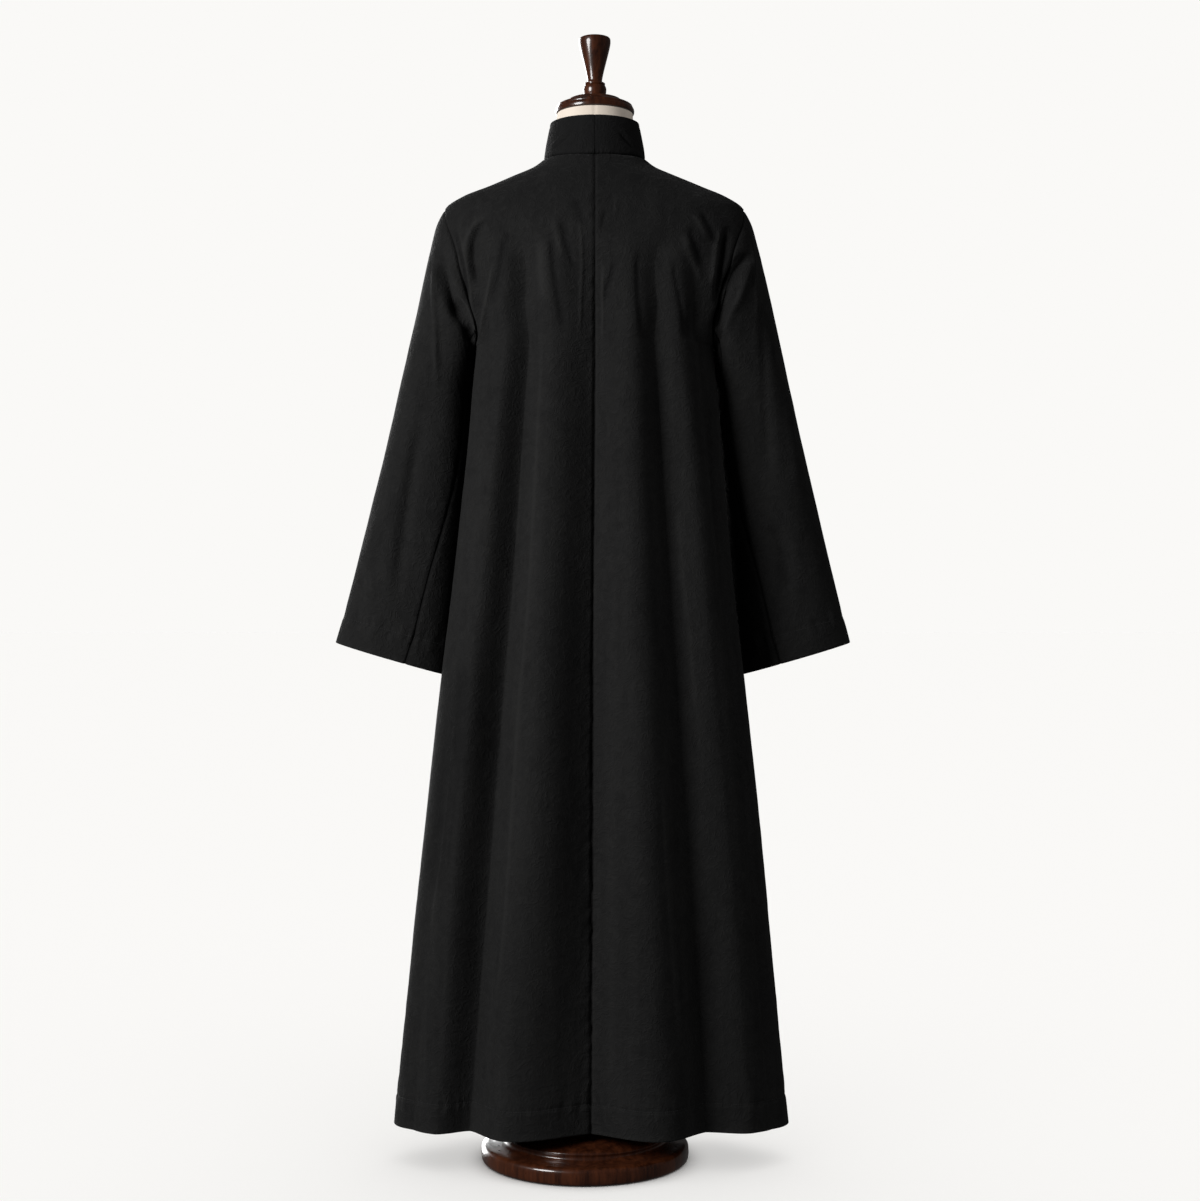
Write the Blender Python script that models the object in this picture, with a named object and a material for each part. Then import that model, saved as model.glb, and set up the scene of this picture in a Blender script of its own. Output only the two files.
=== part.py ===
"""A plain black cassock worn by a limbless dress form on a turned wooden stand.

Everything is in metres. The stand rests on the floor at Z = 0, with the origin
at the centre of its underside. The garment faces -Y, its wearer's left is +X.

The cloth is a set of thin walls. The body's panels share one surface, which is
worked out from level sections and a table of soft folds. Each sleeve
is a fan of rings about the underarm that ends in a hanging tube.
"""

import math
from collections import namedtuple

import bpy
import numpy as np

# ---------------------------------------------------------------- cloth sizes
CLOTH_WALL = 0.0020
COLLAR_WALL = 0.0026
SEAM_GAP = 0.00044
ARMHOLE_GAP = 0.0006
SLEEVE_SEAM_INSET = 0.00038
# The garment and form lean a little to the wearer's right as they rise.
AXIS_LEVELS = (0.050, 0.400, 0.750, 1.060, 1.200)
AXIS_SHIFTS = (-0.0090, -0.0105, -0.0115, -0.0137, -0.0145)

NECK_SIDE_LEVEL = 1.4935
SHOULDER_TIP_LEVEL = 1.4180
UNDERARM_LEVEL = 1.2120
HEM_LEVEL = 0.0560

SHOULDER_ROWS = 7
ARMHOLE_ROWS = 10
SKIRT_ROWS = 15
ARMHOLE_BACK_REACH = 31.0
ARMHOLE_FRONT_REACH = 34.0

# The fronts lap by twice LAP_HALF, and the under one is pressed in by LAP_DROP.
LAP_HALF = 0.016
LAP_START = 0.036
LAP_DROP = 0.0026
LAP_COLUMNS = 3

BUTTON_COUNT = 20
BUTTON_TOP_HEIGHT = 1.437
BUTTON_PITCH = 0.064
BUTTON_STAND_OFF = 0.0006

# ---------------------------------------------------------------- stand sizes
COLUMN_RADIUS = 0.026
COLUMN_FOOT = 0.0905
FORM_UNDERSIDE = 0.780
NECK_TOP = 1.5615
PIECE_GAP = 0.0004
TURNED_SIDES = 36

# back_round is 1 for a back rounded like an ellipse, and less for a flatter one.
Section = namedtuple(
    "Section", "name back_z side_z front_z half_width back front back_round"
)
SECTIONS = (
    Section("neckline", 1.4880, 1.4935, 1.4560, 0.0755, 0.0710, 0.0740, 1.00),
    Section("neck_root", 1.4735, 1.4800, 1.4420, 0.0930, 0.0780, 0.0850, 1.00),
    Section("collarbone", 1.4565, 1.4650, 1.4260, 0.1275, 0.0855, 0.0960, 0.97),
    Section("mid_shoulder", 1.4375, 1.4500, 1.4090, 0.1620, 0.0930, 0.1040, 0.93),
    Section("shoulder_end", 1.4180, 1.4350, 1.3920, 0.1985, 0.0990, 0.1090, 0.89),
    Section("shoulder_tip", 1.4000, 1.4180, 1.3780, 0.2228, 0.1040, 0.1120, 0.86),
    Section("blade_top", 1.3680, 1.3800, 1.3540, 0.2350, 0.1100, 0.1150, 0.83),
    Section("blade", 1.3260, 1.3320, 1.3160, 0.2330, 0.1145, 0.1175, 0.80),
    Section("chest", 1.2720, 1.2740, 1.2680, 0.2100, 0.1155, 0.1185, 0.78),
    Section("underarm", 1.2120, 1.2120, 1.2120, 0.1780, 0.1135, 0.1180, 0.70),
    Section("ribs", 1.1400, 1.1400, 1.1400, 0.1838, 0.1100, 0.1165, 0.63),
    Section("waist", 1.0630, 1.0630, 1.0630, 0.1900, 0.1090, 0.1170, 0.58),
    Section("hip", 0.8950, 0.8950, 0.8950, 0.2055, 0.1210, 0.1230, 0.52),
    Section("thigh", 0.7150, 0.7150, 0.7150, 0.2260, 0.1330, 0.1320, 0.50),
    Section("knee", 0.3850, 0.3850, 0.3850, 0.2615, 0.1450, 0.1430, 0.58),
    Section("hem", 0.0600, 0.0540, 0.0600, 0.2945, 0.1500, 0.1540, 0.70),
)

# A fold's line runs down the panel. Its share is its angle from the panel's
# centre over a quarter turn, and its depth is how far it lies inside the plain
# section. Lines past CREST_LINE are squeezed in where the armhole cuts the panel.
Fold = namedtuple(
    "Fold",
    "name chest_share underarm_share thigh_share hem_share"
    " chest_depth thigh_depth hem_depth",
)
SHARE_LEVELS = (1.450, 1.330, 1.212, 0.690, 0.056)
DEPTH_LEVELS = (1.385, 1.290, 0.690, 0.056)
CREST_LINE = 3
BACK_FOLDS = {
    "left": (
        Fold("seam_valley", 0.000, 0.000, 0.000, 0.000, 0.014, 0.042, 0.050),
        Fold("lobe_crest", 0.175, 0.215, 0.215, 0.260, 0.000, 0.000, 0.000),
        Fold("deep_valley", 0.290, 0.385, 0.418, 0.455, 0.014, 0.040, 0.051),
        Fold("outer_crest", 0.380, 0.525, 0.590, 0.600, 0.000, 0.004, 0.018),
        Fold("outer_valley", 0.640, 0.760, 0.780, 0.780, 0.004, 0.009, 0.020),
        Fold("side_seam", 1.000, 1.000, 1.000, 1.000, 0.000, 0.000, 0.000),
    ),
    "right": (
        Fold("seam_valley", 0.000, 0.000, 0.000, 0.000, 0.014, 0.042, 0.050),
        Fold("lobe_crest", 0.145, 0.195, 0.195, 0.215, 0.000, 0.000, 0.000),
        Fold("deep_valley", 0.250, 0.345, 0.395, 0.420, 0.012, 0.037, 0.046),
        Fold("outer_crest", 0.345, 0.495, 0.635, 0.640, 0.000, 0.018, 0.020),
        Fold("outer_valley", 0.560, 0.700, 0.800, 0.800, 0.008, 0.016, 0.018),
        Fold("side_seam", 1.000, 1.000, 1.000, 1.000, 0.000, 0.000, 0.000),
    ),
}
FRONT_FOLDS = {
    "left": (
        Fold("button_edge", 0.000, 0.000, 0.000, 0.000, 0.000, 0.000, 0.000),
        Fold("inner_valley", 0.180, 0.225, 0.240, 0.260, 0.002, 0.013, 0.028),
        Fold("middle_crest", 0.290, 0.390, 0.420, 0.430, 0.000, 0.000, 0.000),
        Fold("outer_valley", 0.400, 0.540, 0.590, 0.600, 0.004, 0.014, 0.032),
        Fold("outer_crest", 0.680, 0.760, 0.780, 0.780, 0.000, 0.002, 0.008),
        Fold("side_seam", 1.000, 1.000, 1.000, 1.000, 0.000, 0.000, 0.000),
    ),
    "right": (
        Fold("button_edge", 0.000, 0.000, 0.000, 0.000, 0.000, 0.000, 0.000),
        Fold("inner_valley", 0.190, 0.245, 0.270, 0.300, 0.003, 0.015, 0.034),
        Fold("middle_crest", 0.300, 0.410, 0.450, 0.480, 0.000, 0.000, 0.002),
        Fold("outer_valley", 0.420, 0.570, 0.630, 0.650, 0.003, 0.012, 0.026),
        Fold("outer_crest", 0.700, 0.790, 0.810, 0.820, 0.000, 0.001, 0.006),
        Fold("side_seam", 1.000, 1.000, 1.000, 1.000, 0.000, 0.000, 0.000),
    ),
}
BACK_STEPS = (3, 2, 2, 2, 2)
FRONT_STEPS = (2, 2, 2, 2, 2)

# Sleeve rings by their outer point, their inner point beside the body, their
# half depth from front to back and how far forward of the shoulder they hang.
Ring = namedtuple("Ring", "name out_x out_z in_x in_z half_depth forward")
SLEEVE_RINGS = (
    Ring("armhole", 0.2228, 1.4180, 0.1780, 1.2120, 0.0575, 0.000),
    Ring("cap", 0.2350, 1.3950, 0.1813, 1.2050, 0.0625, 0.001),
    Ring("cap_foot", 0.2465, 1.3550, 0.1815, 1.1970, 0.0655, 0.004),
    Ring("upper_arm", 0.2585, 1.3060, 0.1809, 1.1870, 0.0670, 0.009),
    Ring("biceps", 0.2727, 1.2480, 0.1809, 1.1740, 0.0670, 0.017),
    Ring("above_elbow", 0.2885, 1.1830, 0.1826, 1.1520, 0.0660, 0.028),
    Ring("elbow", 0.3058, 1.1120, 0.1865, 1.0830, 0.0645, 0.040),
    Ring("below_elbow", 0.3241, 1.0380, 0.1930, 1.0060, 0.0620, 0.048),
    Ring("forearm", 0.3426, 0.9650, 0.2000, 0.9300, 0.0595, 0.054),
    Ring("low_forearm", 0.3615, 0.8900, 0.2075, 0.8530, 0.0560, 0.059),
    Ring("wrist", 0.3798, 0.8200, 0.2155, 0.7760, 0.0520, 0.062),
    Ring("cuff", 0.3935, 0.7710, 0.2220, 0.7210, 0.0490, 0.064),
)
SLEEVE_SEAM_TURNS = {
    "back_armhole": 144.0, "back_elbow": 158.0, "back_cuff": 111.0,
    "front_armhole": -126.0, "front_elbow": -140.0, "front_cuff": -140.0,
}
SEAM_PLACES = (0.0, 7.0, 11.0)
UNDER_STEPS = 5
# The armhole's own outline gives way to the rings by SET_IN_END. The lowest part
# of the armhole, past LOW_PART of the way down, turns out to meet the under sleeve.
SET_IN_END = 1.75
LOW_PART = 0.6
LOW_BLEND = 0.5
SLEEVE_ROWS = (0.0, 0.5, 1.0, 1.5, 2.0, 3.0, 4.0, 5.0, 6.0, 7.25, 8.5, 9.75, 11.0)
SleeveFold = namedtuple("SleeveFold", "side top_turn cuff_turn width depth start stop")
SLEEVE_FOLDS = (
    SleeveFold("left", 72.0, 98.0, 24.0, 0.0060, 2.5, 12.0),
    SleeveFold("left", -70.0, -95.0, 26.0, 0.0055, 3.0, 11.5),
    SleeveFold("right", 80.0, 104.0, 22.0, 0.0060, 2.0, 11.5),
    SleeveFold("right", -78.0, -96.0, 28.0, 0.0050, 3.5, 12.0),
)
FOLD_FADE_IN = 2.0
FOLD_FADE_OUT = 2.5

COLLAR_TOP = Section("collar_top", 1.5455, 1.5465, 1.5030, 0.0665, 0.0645, 0.0670, 1.0)
COLLAR_ROWS = 3
COLLAR_END_HALF_GAP = 0.0012
COLLAR_LEAN = 1.25

FormSection = namedtuple("FormSection", "name z half_width back front")
FORM_BELOW_SHOULDER = (
    FormSection("arm_end", 1.3700, 0.2060, 0.0930, 0.0990),
    FormSection("armpit", 1.3000, 0.1860, 0.0960, 0.1030),
    FormSection("chest", 1.2200, 0.1640, 0.0885, 0.1040),
    FormSection("ribs", 1.1300, 0.1560, 0.0800, 0.0990),
    FormSection("waist", 1.0500, 0.1500, 0.0740, 0.0950),
    FormSection("seat", 0.9500, 0.1560, 0.0760, 0.0930),
    FormSection("hip", 0.8700, 0.1600, 0.0780, 0.0930),
    FormSection("hip_foot", 0.8000, 0.1560, 0.0760, 0.0900),
    FormSection("underside_edge", 0.7800, 0.1460, 0.0690, 0.0830),
)
FORM_SHOULDER_LEVELS = (1.4780, 1.4660, 1.4520, 1.4370, 1.4220)
FORM_CLEARANCE = 0.0028
FORM_FRONT_CLEARANCE = 0.0045
FORM_COLUMNS = 32
FORM_NECK = (
    Section("neck_top", NECK_TOP, NECK_TOP, NECK_TOP, 0.0570, 0.0565, 0.0565, 1.0),
    Section("neck", 1.5300, 1.5300, 1.5250, 0.0575, 0.0570, 0.0575, 1.0),
    Section("neck_foot", 1.4920, 1.4930, 1.4640, 0.0615, 0.0595, 0.0605, 1.0),
)
# A slope is read between levels this far apart.
LEVEL_STEP = 0.004

Turning = namedtuple("Turning", "z radius")
FINIAL_PROFILE = (
    Turning(1.5849, 0.0125), Turning(1.5870, 0.0145), Turning(1.5910, 0.0160),
    Turning(1.5955, 0.0171), Turning(1.5995, 0.0174), Turning(1.6033, 0.0166),
    Turning(1.6055, 0.0144), Turning(1.6065, 0.0154), Turning(1.6085, 0.0154),
    Turning(1.6097, 0.0120), Turning(1.6120, 0.0109), Turning(1.6182, 0.0118),
    Turning(1.6276, 0.0138), Turning(1.6419, 0.0174), Turning(1.6561, 0.0210),
    Turning(1.6656, 0.0231), Turning(1.6700, 0.0236), Turning(1.6740, 0.0235),
    Turning(1.6762, 0.0222), Turning(1.6772, 0.0150),
)
CAP_PROFILE = (
    Turning(1.5620, 0.0560), Turning(1.5632, 0.0588), Turning(1.5665, 0.0592),
    Turning(1.5700, 0.0582), Turning(1.5712, 0.0566), Turning(1.5732, 0.0566),
    Turning(1.5750, 0.0552), Turning(1.5770, 0.0500), Turning(1.5790, 0.0440),
    Turning(1.5807, 0.0410), Turning(1.5835, 0.0390), Turning(1.5845, 0.0360),
)
BASE_PROFILE = (
    Turning(0.0000, 0.1500), Turning(0.0030, 0.1540), Turning(0.0100, 0.1550),
    Turning(0.0190, 0.1545), Turning(0.0235, 0.1520), Turning(0.0255, 0.1480),
    Turning(0.0262, 0.1380), Turning(0.0280, 0.1260), Turning(0.0300, 0.1225),
    Turning(0.0335, 0.1215), Turning(0.0370, 0.1225), Turning(0.0400, 0.1200),
    Turning(0.0420, 0.1150), Turning(0.0450, 0.1020), Turning(0.0500, 0.0800),
    Turning(0.0580, 0.0580), Turning(0.0680, 0.0430), Turning(0.0800, 0.0355),
    Turning(0.0900, 0.0340),
)
BUTTON_PROFILE = (
    Turning(0.0000, 0.0050), Turning(0.0010, 0.0064), Turning(0.0022, 0.0068),
    Turning(0.0034, 0.0060), Turning(0.0042, 0.0035),
)
BUTTON_SIDES = 10

Finish = namedtuple("Finish", "name colour roughness")
BLACK_CLOTH = Finish("black cotton", (0.012, 0.012, 0.012), 0.88)
CREAM_CLOTH = Finish("cream form cloth", (0.76, 0.68, 0.60), 0.85)
DARK_WOOD = Finish("dark varnished wood", (0.035, 0.010, 0.006), 0.22)
BLACK_BUTTON = Finish("black button", (0.010, 0.010, 0.011), 0.45)


# ------------------------------------------------------------- interpolation
def smooth_table(knots, values, at):
    """Monotone cubic interpolation, which never overshoots its table."""
    order = np.argsort(knots)
    x = np.asarray(knots, float)[order]
    y = np.asarray(values, float)[order]
    step = np.diff(x)
    rise = np.diff(y) / step
    slope = np.empty_like(y)
    slope[0], slope[-1] = rise[0], rise[-1]
    for i in range(1, len(x) - 1):
        if rise[i - 1] * rise[i] <= 0.0:
            slope[i] = 0.0
            continue
        before = 2.0 * step[i] + step[i - 1]
        after = step[i] + 2.0 * step[i - 1]
        slope[i] = (before + after) / (before / rise[i - 1] + after / rise[i])
    i = int(np.clip(np.searchsorted(x, at) - 1, 0, len(step) - 1))
    t = min(max((at - x[i]) / step[i], 0.0), 1.0)
    return (
        (1 + 2 * t) * (1 - t) ** 2 * y[i] + t * (1 - t) ** 2 * step[i] * slope[i]
        + t * t * (3 - 2 * t) * y[i + 1] - t * t * (1 - t) * step[i] * slope[i + 1]
    )


def smooth_step(t):
    t = min(max(t, 0.0), 1.0)
    return t * t * (3.0 - 2.0 * t)


def unit(vector):
    return vector / np.linalg.norm(vector)


# --------------------------------------------------------- the body's surface
def section_at(level):
    knots = [section.side_z for section in SECTIONS]
    found = {
        field: smooth_table(knots, [getattr(s, field) for s in SECTIONS], level)
        for field in ("back_z", "front_z", "half_width", "back", "front", "back_round")
    }
    return Section("between", side_z=level, **found)


def section_point(section, turn, inset=0.0):
    """A point at an angle from the centre back, 90 at the side, 180 in front."""
    angle = math.radians(turn)
    sine, cosine = math.sin(angle), math.cos(angle)
    behind = cosine > 0.0
    depth = section.back if behind else section.front
    end_z = section.back_z if behind else section.front_z
    power = section.back_round if behind else 1.0
    way = 1.0 if behind else -1.0
    outward = unit(np.array([
        sine / section.half_width,
        way * abs(cosine) ** (2.0 - power) / (power * depth),
        0.0,
    ]))
    point = np.array([
        section.half_width * sine,
        way * depth * abs(cosine) ** power,
        section.side_z + (end_z - section.side_z) * cosine * cosine,
    ])
    return point - inset * outward


def body_rows():
    """Levels from the neckline to the hem, with each row's share of the armhole."""
    rows = []
    for i in range(SHOULDER_ROWS):
        t = i / SHOULDER_ROWS
        rows.append((NECK_SIDE_LEVEL + (SHOULDER_TIP_LEVEL - NECK_SIDE_LEVEL) * t, 0.0))
    middle = (SHOULDER_TIP_LEVEL + UNDERARM_LEVEL) / 2
    reach = (SHOULDER_TIP_LEVEL - UNDERARM_LEVEL) / 2
    for i in range(ARMHOLE_ROWS):
        turn = math.pi * i / ARMHOLE_ROWS
        rows.append((middle + reach * math.cos(turn), math.sin(turn)))
    for i in range(SKIRT_ROWS + 1):
        t = i / SKIRT_ROWS
        rows.append((UNDERARM_LEVEL + (HEM_LEVEL - UNDERARM_LEVEL) * t, 0.0))
    return rows


def fold_values(folds, level):
    """Each fold line's share of the panel and its depth at this level."""
    shares, depths = [], []
    for fold in folds:
        down = (
            fold.thigh_share, fold.chest_share, fold.underarm_share,
            fold.thigh_share, fold.hem_share,
        )
        shares.append(smooth_table(SHARE_LEVELS, down, level))
        down = (0.0, fold.chest_depth, fold.thigh_depth, fold.hem_depth)
        depths.append(smooth_table(DEPTH_LEVELS, down, level))
    return shares, depths


def stepped_columns(steps):
    """Column positions counted in fold lines: steps[i] columns from line i to i + 1."""
    found = []
    for line, count in enumerate(steps):
        found += [line + i / count for i in range(count)]
    return found + [float(len(steps))]


def share_and_depth(folds, column, level, edge):
    """A column's share and depth, on a row whose panel ends at the edge's share."""
    shares, depths = fold_values(folds, level)
    crest = shares[CREST_LINE]
    squeeze = (edge - crest) / (1.0 - crest)
    shares = [min(share, crest + (share - crest) * squeeze) for share in shares]
    line = min(int(column), len(folds) - 2)
    t = column - line
    ease = 0.5 - 0.5 * math.cos(math.pi * t)
    share = shares[line] + (shares[line + 1] - shares[line]) * t
    return share, depths[line] + (depths[line + 1] - depths[line]) * ease


def back_grid(side):
    """Points of one back panel: rows from the neckline down, columns from the seam out."""
    grid = []
    for level, opening in body_rows():
        section = section_at(level)
        edge = 90.0 - ARMHOLE_BACK_REACH * opening
        row = []
        for column in stepped_columns(BACK_STEPS):
            share, depth = share_and_depth(BACK_FOLDS[side], column, level, edge / 90.0)
            row.append(section_point(section, share * 90.0, depth))
        grid.append(row)
    return mirrored(np.array(grid), side)


def front_grid(side):
    """Points of one front: columns from the side in, then past the centre front."""
    lap = (LAP_START, LAP_HALF, 0.0, -LAP_HALF)
    grid = []
    for level, opening in body_rows():
        section = section_at(level)
        edge = 90.0 - ARMHOLE_FRONT_REACH * opening
        lap_turns = [math.degrees(math.asin(x / section.half_width)) for x in lap]
        row = []
        for column in reversed(stepped_columns(FRONT_STEPS)):
            share, depth = share_and_depth(FRONT_FOLDS[side], column, level, edge / 90.0)
            turn = share * 90.0 + lap_turns[0] * (1.0 - share * 90.0 / edge)
            row.append(section_point(section, 180.0 - turn, depth))
        row += [section_point(section, 180.0 - turn) for turn in lap_turns[1:]]
        grid.append(row)
    return mirrored(np.array(grid), side)


def mirrored(points, side):
    """The grids are worked out for the left; the right ones are turned over in X."""
    return points * np.array([1.0 if side == "left" else -1.0, 1.0, 1.0])


def grid_normals(grid, flip, before=None, after=None, open_rows=()):
    """Unit normals of a grid of points. before and after are the neighbouring
    columns across a seam, unused on the rows where the seam is open."""
    rows, columns = grid.shape[:2]
    normals = np.empty_like(grid)
    for r in range(rows):
        down = grid[min(r + 1, rows - 1)] - grid[max(r - 1, 0)]
        for c in range(columns):
            left = grid[r, c - 1] if c > 0 else grid[r, c]
            right = grid[r, c + 1] if c < columns - 1 else grid[r, c]
            if c == 0 and before is not None and r not in open_rows:
                left = before[r]
            if c == columns - 1 and after is not None and r not in open_rows:
                right = after[r]
            normals[r, c] = unit(np.cross(down[c], right - left)) * flip
    return normals


def inset_edge(grid, column, inward_column, gap):
    """Moves one edge column towards its neighbour by half a seam's gap."""
    for row in grid:
        row[column] = row[column] + gap * unit(row[inward_column] - row[column])


# ------------------------------------------------------------------- meshes
def material_of(finish):
    found = bpy.data.materials.get(finish.name)
    if found:
        return found
    made = bpy.data.materials.new(finish.name)
    made.use_nodes = True
    shader = made.node_tree.nodes["Principled BSDF"]
    shader.inputs["Base Color"].default_value = (*finish.colour, 1.0)
    shader.inputs["Roughness"].default_value = finish.roughness
    shader.inputs["Metallic"].default_value = 0.0
    return made


def add_mesh(name, points, faces, finish, smooth=False):
    mesh = bpy.data.meshes.new(name)
    mesh.from_pydata([tuple(map(float, p)) for p in points], [], faces)
    mesh.validate()
    mesh.materials.append(material_of(finish))
    if smooth:
        mesh.shade_smooth()
        mesh.set_sharp_from_angle(angle=math.radians(35.0))
    made = bpy.data.objects.new(name, mesh)
    bpy.context.scene.collection.objects.link(made)
    return made


def add_wall(name, outer, normals, thickness, finish):
    """A closed wall between a grid of points and its copy moved inwards."""
    rows, columns = outer.shape[:2]
    inner = outer - normals * thickness
    points = list(outer.reshape(-1, 3)) + list(inner.reshape(-1, 3))
    half = rows * columns

    def at(r, c):
        return r * columns + c

    faces = []
    for r in range(rows - 1):
        for c in range(columns - 1):
            a, b, d, e = at(r, c), at(r, c + 1), at(r + 1, c), at(r + 1, c + 1)
            for one, two, three in ((a, d, e), (a, e, b)):
                faces.append((one, two, three))
                faces.append((half + one, half + three, half + two))
    rim = [at(0, c) for c in range(columns)]
    rim += [at(r, columns - 1) for r in range(1, rows)]
    rim += [at(rows - 1, c) for c in range(columns - 2, -1, -1)]
    rim += [at(r, 0) for r in range(rows - 2, 0, -1)]
    for one, two in zip(rim, rim[1:] + rim[:1]):
        if one < two:
            faces += [(one, two, half + two), (one, half + two, half + one)]
        else:
            faces += [(one, two, half + one), (two, half + two, half + one)]
    centre = rows // 2, columns // 2
    a = outer[centre[0], centre[1] - 1]
    first = np.cross(outer[centre[0] + 1, centre[1] - 1] - a, outer[centre] - a)
    if np.dot(first, normals[centre]) < 0.0:
        faces = [(one, three, two) for one, two, three in faces]
    return add_mesh(name, points, faces, finish)


def add_turned(name, profile, finish, sides, place=None):
    """A closed turned solid through a profile of heights and radii, bottom first."""
    points = []
    for step in profile:
        for i in range(sides):
            angle = 2.0 * math.pi * i / sides
            point = (step.radius * math.cos(angle), step.radius * math.sin(angle), step.z)
            points.append(np.array(point))
    faces = []
    for ring in range(len(profile) - 1):
        for i in range(sides):
            a, b = ring * sides + i, ring * sides + (i + 1) % sides
            faces.append((a, b, b + sides, a + sides))
    last = (len(profile) - 1) * sides
    faces.append(tuple(reversed(range(sides))))
    faces.append(tuple(range(last, last + sides)))
    if place is not None:
        points = [place(point) for point in points]
    return add_mesh(name, points, faces, finish, smooth=True)


def axis_shift(height):
    return np.interp(height, AXIS_LEVELS, AXIS_SHIFTS)


def on_garment(points):
    """From the garment's own axis to its place over the base."""
    placed = np.array(points, float)
    placed[..., 0] += axis_shift(placed[..., 2])
    return placed


# ------------------------------------------------------------ garment pieces
def make_body(armhole_rows):
    """Builds the two backs and two fronts, and returns what the sleeves, collar
    and buttons are set on."""
    found = {}
    for side, sign in (("left", 1.0), ("right", -1.0)):
        back, front = back_grid(side), front_grid(side)
        other = back[:, 1] * np.array([-1.0, 1.0, 1.0])
        # Seen from above, a left panel's columns run clockwise and a right one's don't.
        back_normals = grid_normals(
            back, -sign, before=other, after=front[:, 1], open_rows=armhole_rows
        )
        front_normals = grid_normals(
            front, -sign, before=back[:, -2], open_rows=armhole_rows
        )
        found[side] = {
            "back": back.copy(), "back_normals": back_normals,
            "front": front.copy(), "front_normals": front_normals,
        }
        inset_edge(back, 0, 1, SEAM_GAP / 2)
        inset_edge(back, -1, -2, SEAM_GAP / 2)
        inset_edge(front, 0, 1, SEAM_GAP / 2)
        if side == "right":
            front[:, -LAP_COLUMNS:] -= front_normals[:, -LAP_COLUMNS:] * LAP_DROP
        add_wall(f"back_{side}", on_garment(back), back_normals, CLOTH_WALL, BLACK_CLOTH)
        add_wall(f"front_{side}", on_garment(front), front_normals, CLOTH_WALL, BLACK_CLOTH)
    return found


def armhole_ring(body, first, last):
    """Points and normals round one armhole, from the tip down the back, up the front."""
    rows = range(first, last + 1)
    points = [body["back"][r, -1] for r in rows]
    normals = [body["back_normals"][r, -1] for r in rows]
    points += [body["front"][r, 0] for r in reversed(rows[1:-1])]
    normals += [body["front_normals"][r, 0] for r in reversed(rows[1:-1])]
    return np.array(points), np.array(normals)


def ring_at(position):
    knots = list(range(len(SLEEVE_RINGS)))
    found = {
        field: smooth_table(knots, [getattr(r, field) for r in SLEEVE_RINGS], position)
        for field in ("out_x", "out_z", "in_x", "in_z", "half_depth", "forward")
    }
    return Ring("between", **found)


def sleeve_relief(side, turn, position):
    """How far the sleeve's soft folds lie inside its plain ring."""
    depth = 0.0
    last = len(SLEEVE_RINGS) - 1
    for fold in SLEEVE_FOLDS:
        if fold.side != side:
            continue
        middle = fold.top_turn + (fold.cuff_turn - fold.top_turn) * position / last
        away = (turn - middle + 180.0) % 360.0 - 180.0
        fade = smooth_step((position - fold.start) / FOLD_FADE_IN)
        fade *= smooth_step((fold.stop - position) / FOLD_FADE_OUT)
        depth += fold.depth * fade * math.exp(-((away / fold.width) ** 2))
    return depth


def sleeve_point(side, turn, position):
    """turn is 0 at the outer line, 90 at the back, 180 beside the body."""
    ring = ring_at(position)
    outer = np.array([ring.out_x, -ring.forward, ring.out_z])
    inner = np.array([ring.in_x, -ring.forward, ring.in_z])
    angle = math.radians(turn)
    arm = (outer - inner) / 2.0
    back = np.array([0.0, ring.half_depth, 0.0])
    shrink = 1.0 - sleeve_relief(side, turn, position) / ring.half_depth
    spoke = arm * math.cos(angle) + back * math.sin(angle)
    return (outer + inner) / 2.0 + spoke * shrink


def seam_turn(which, position):
    """The angle of the sleeve's back or front seam at a ring."""
    values = [SLEEVE_SEAM_TURNS[f"{which}_{place}"] for place in ("armhole", "elbow", "cuff")]
    return smooth_table(SEAM_PLACES, values, position)


def sleeve_row(side, position, count):
    """A ring's points: the under sleeve's from the back seam on, then the upper's."""
    back, front = seam_turn("back", position), seam_turn("front", position) + 360.0
    under = np.linspace(back, front, UNDER_STEPS + 1)[:-1]
    upper = np.linspace(front, back + 360.0, count - UNDER_STEPS + 1)[:-1]
    points = [sleeve_point(side, turn, position) for turn in (*under, *upper)]
    return mirrored(np.array(points), side)


def lowness(point, centre):
    """0 round most of an armhole, rising to 1 at its lowest point."""
    down = -unit(point - centre)[2]
    return max(0.0, down - LOW_PART) / (1.0 - LOW_PART)


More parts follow.
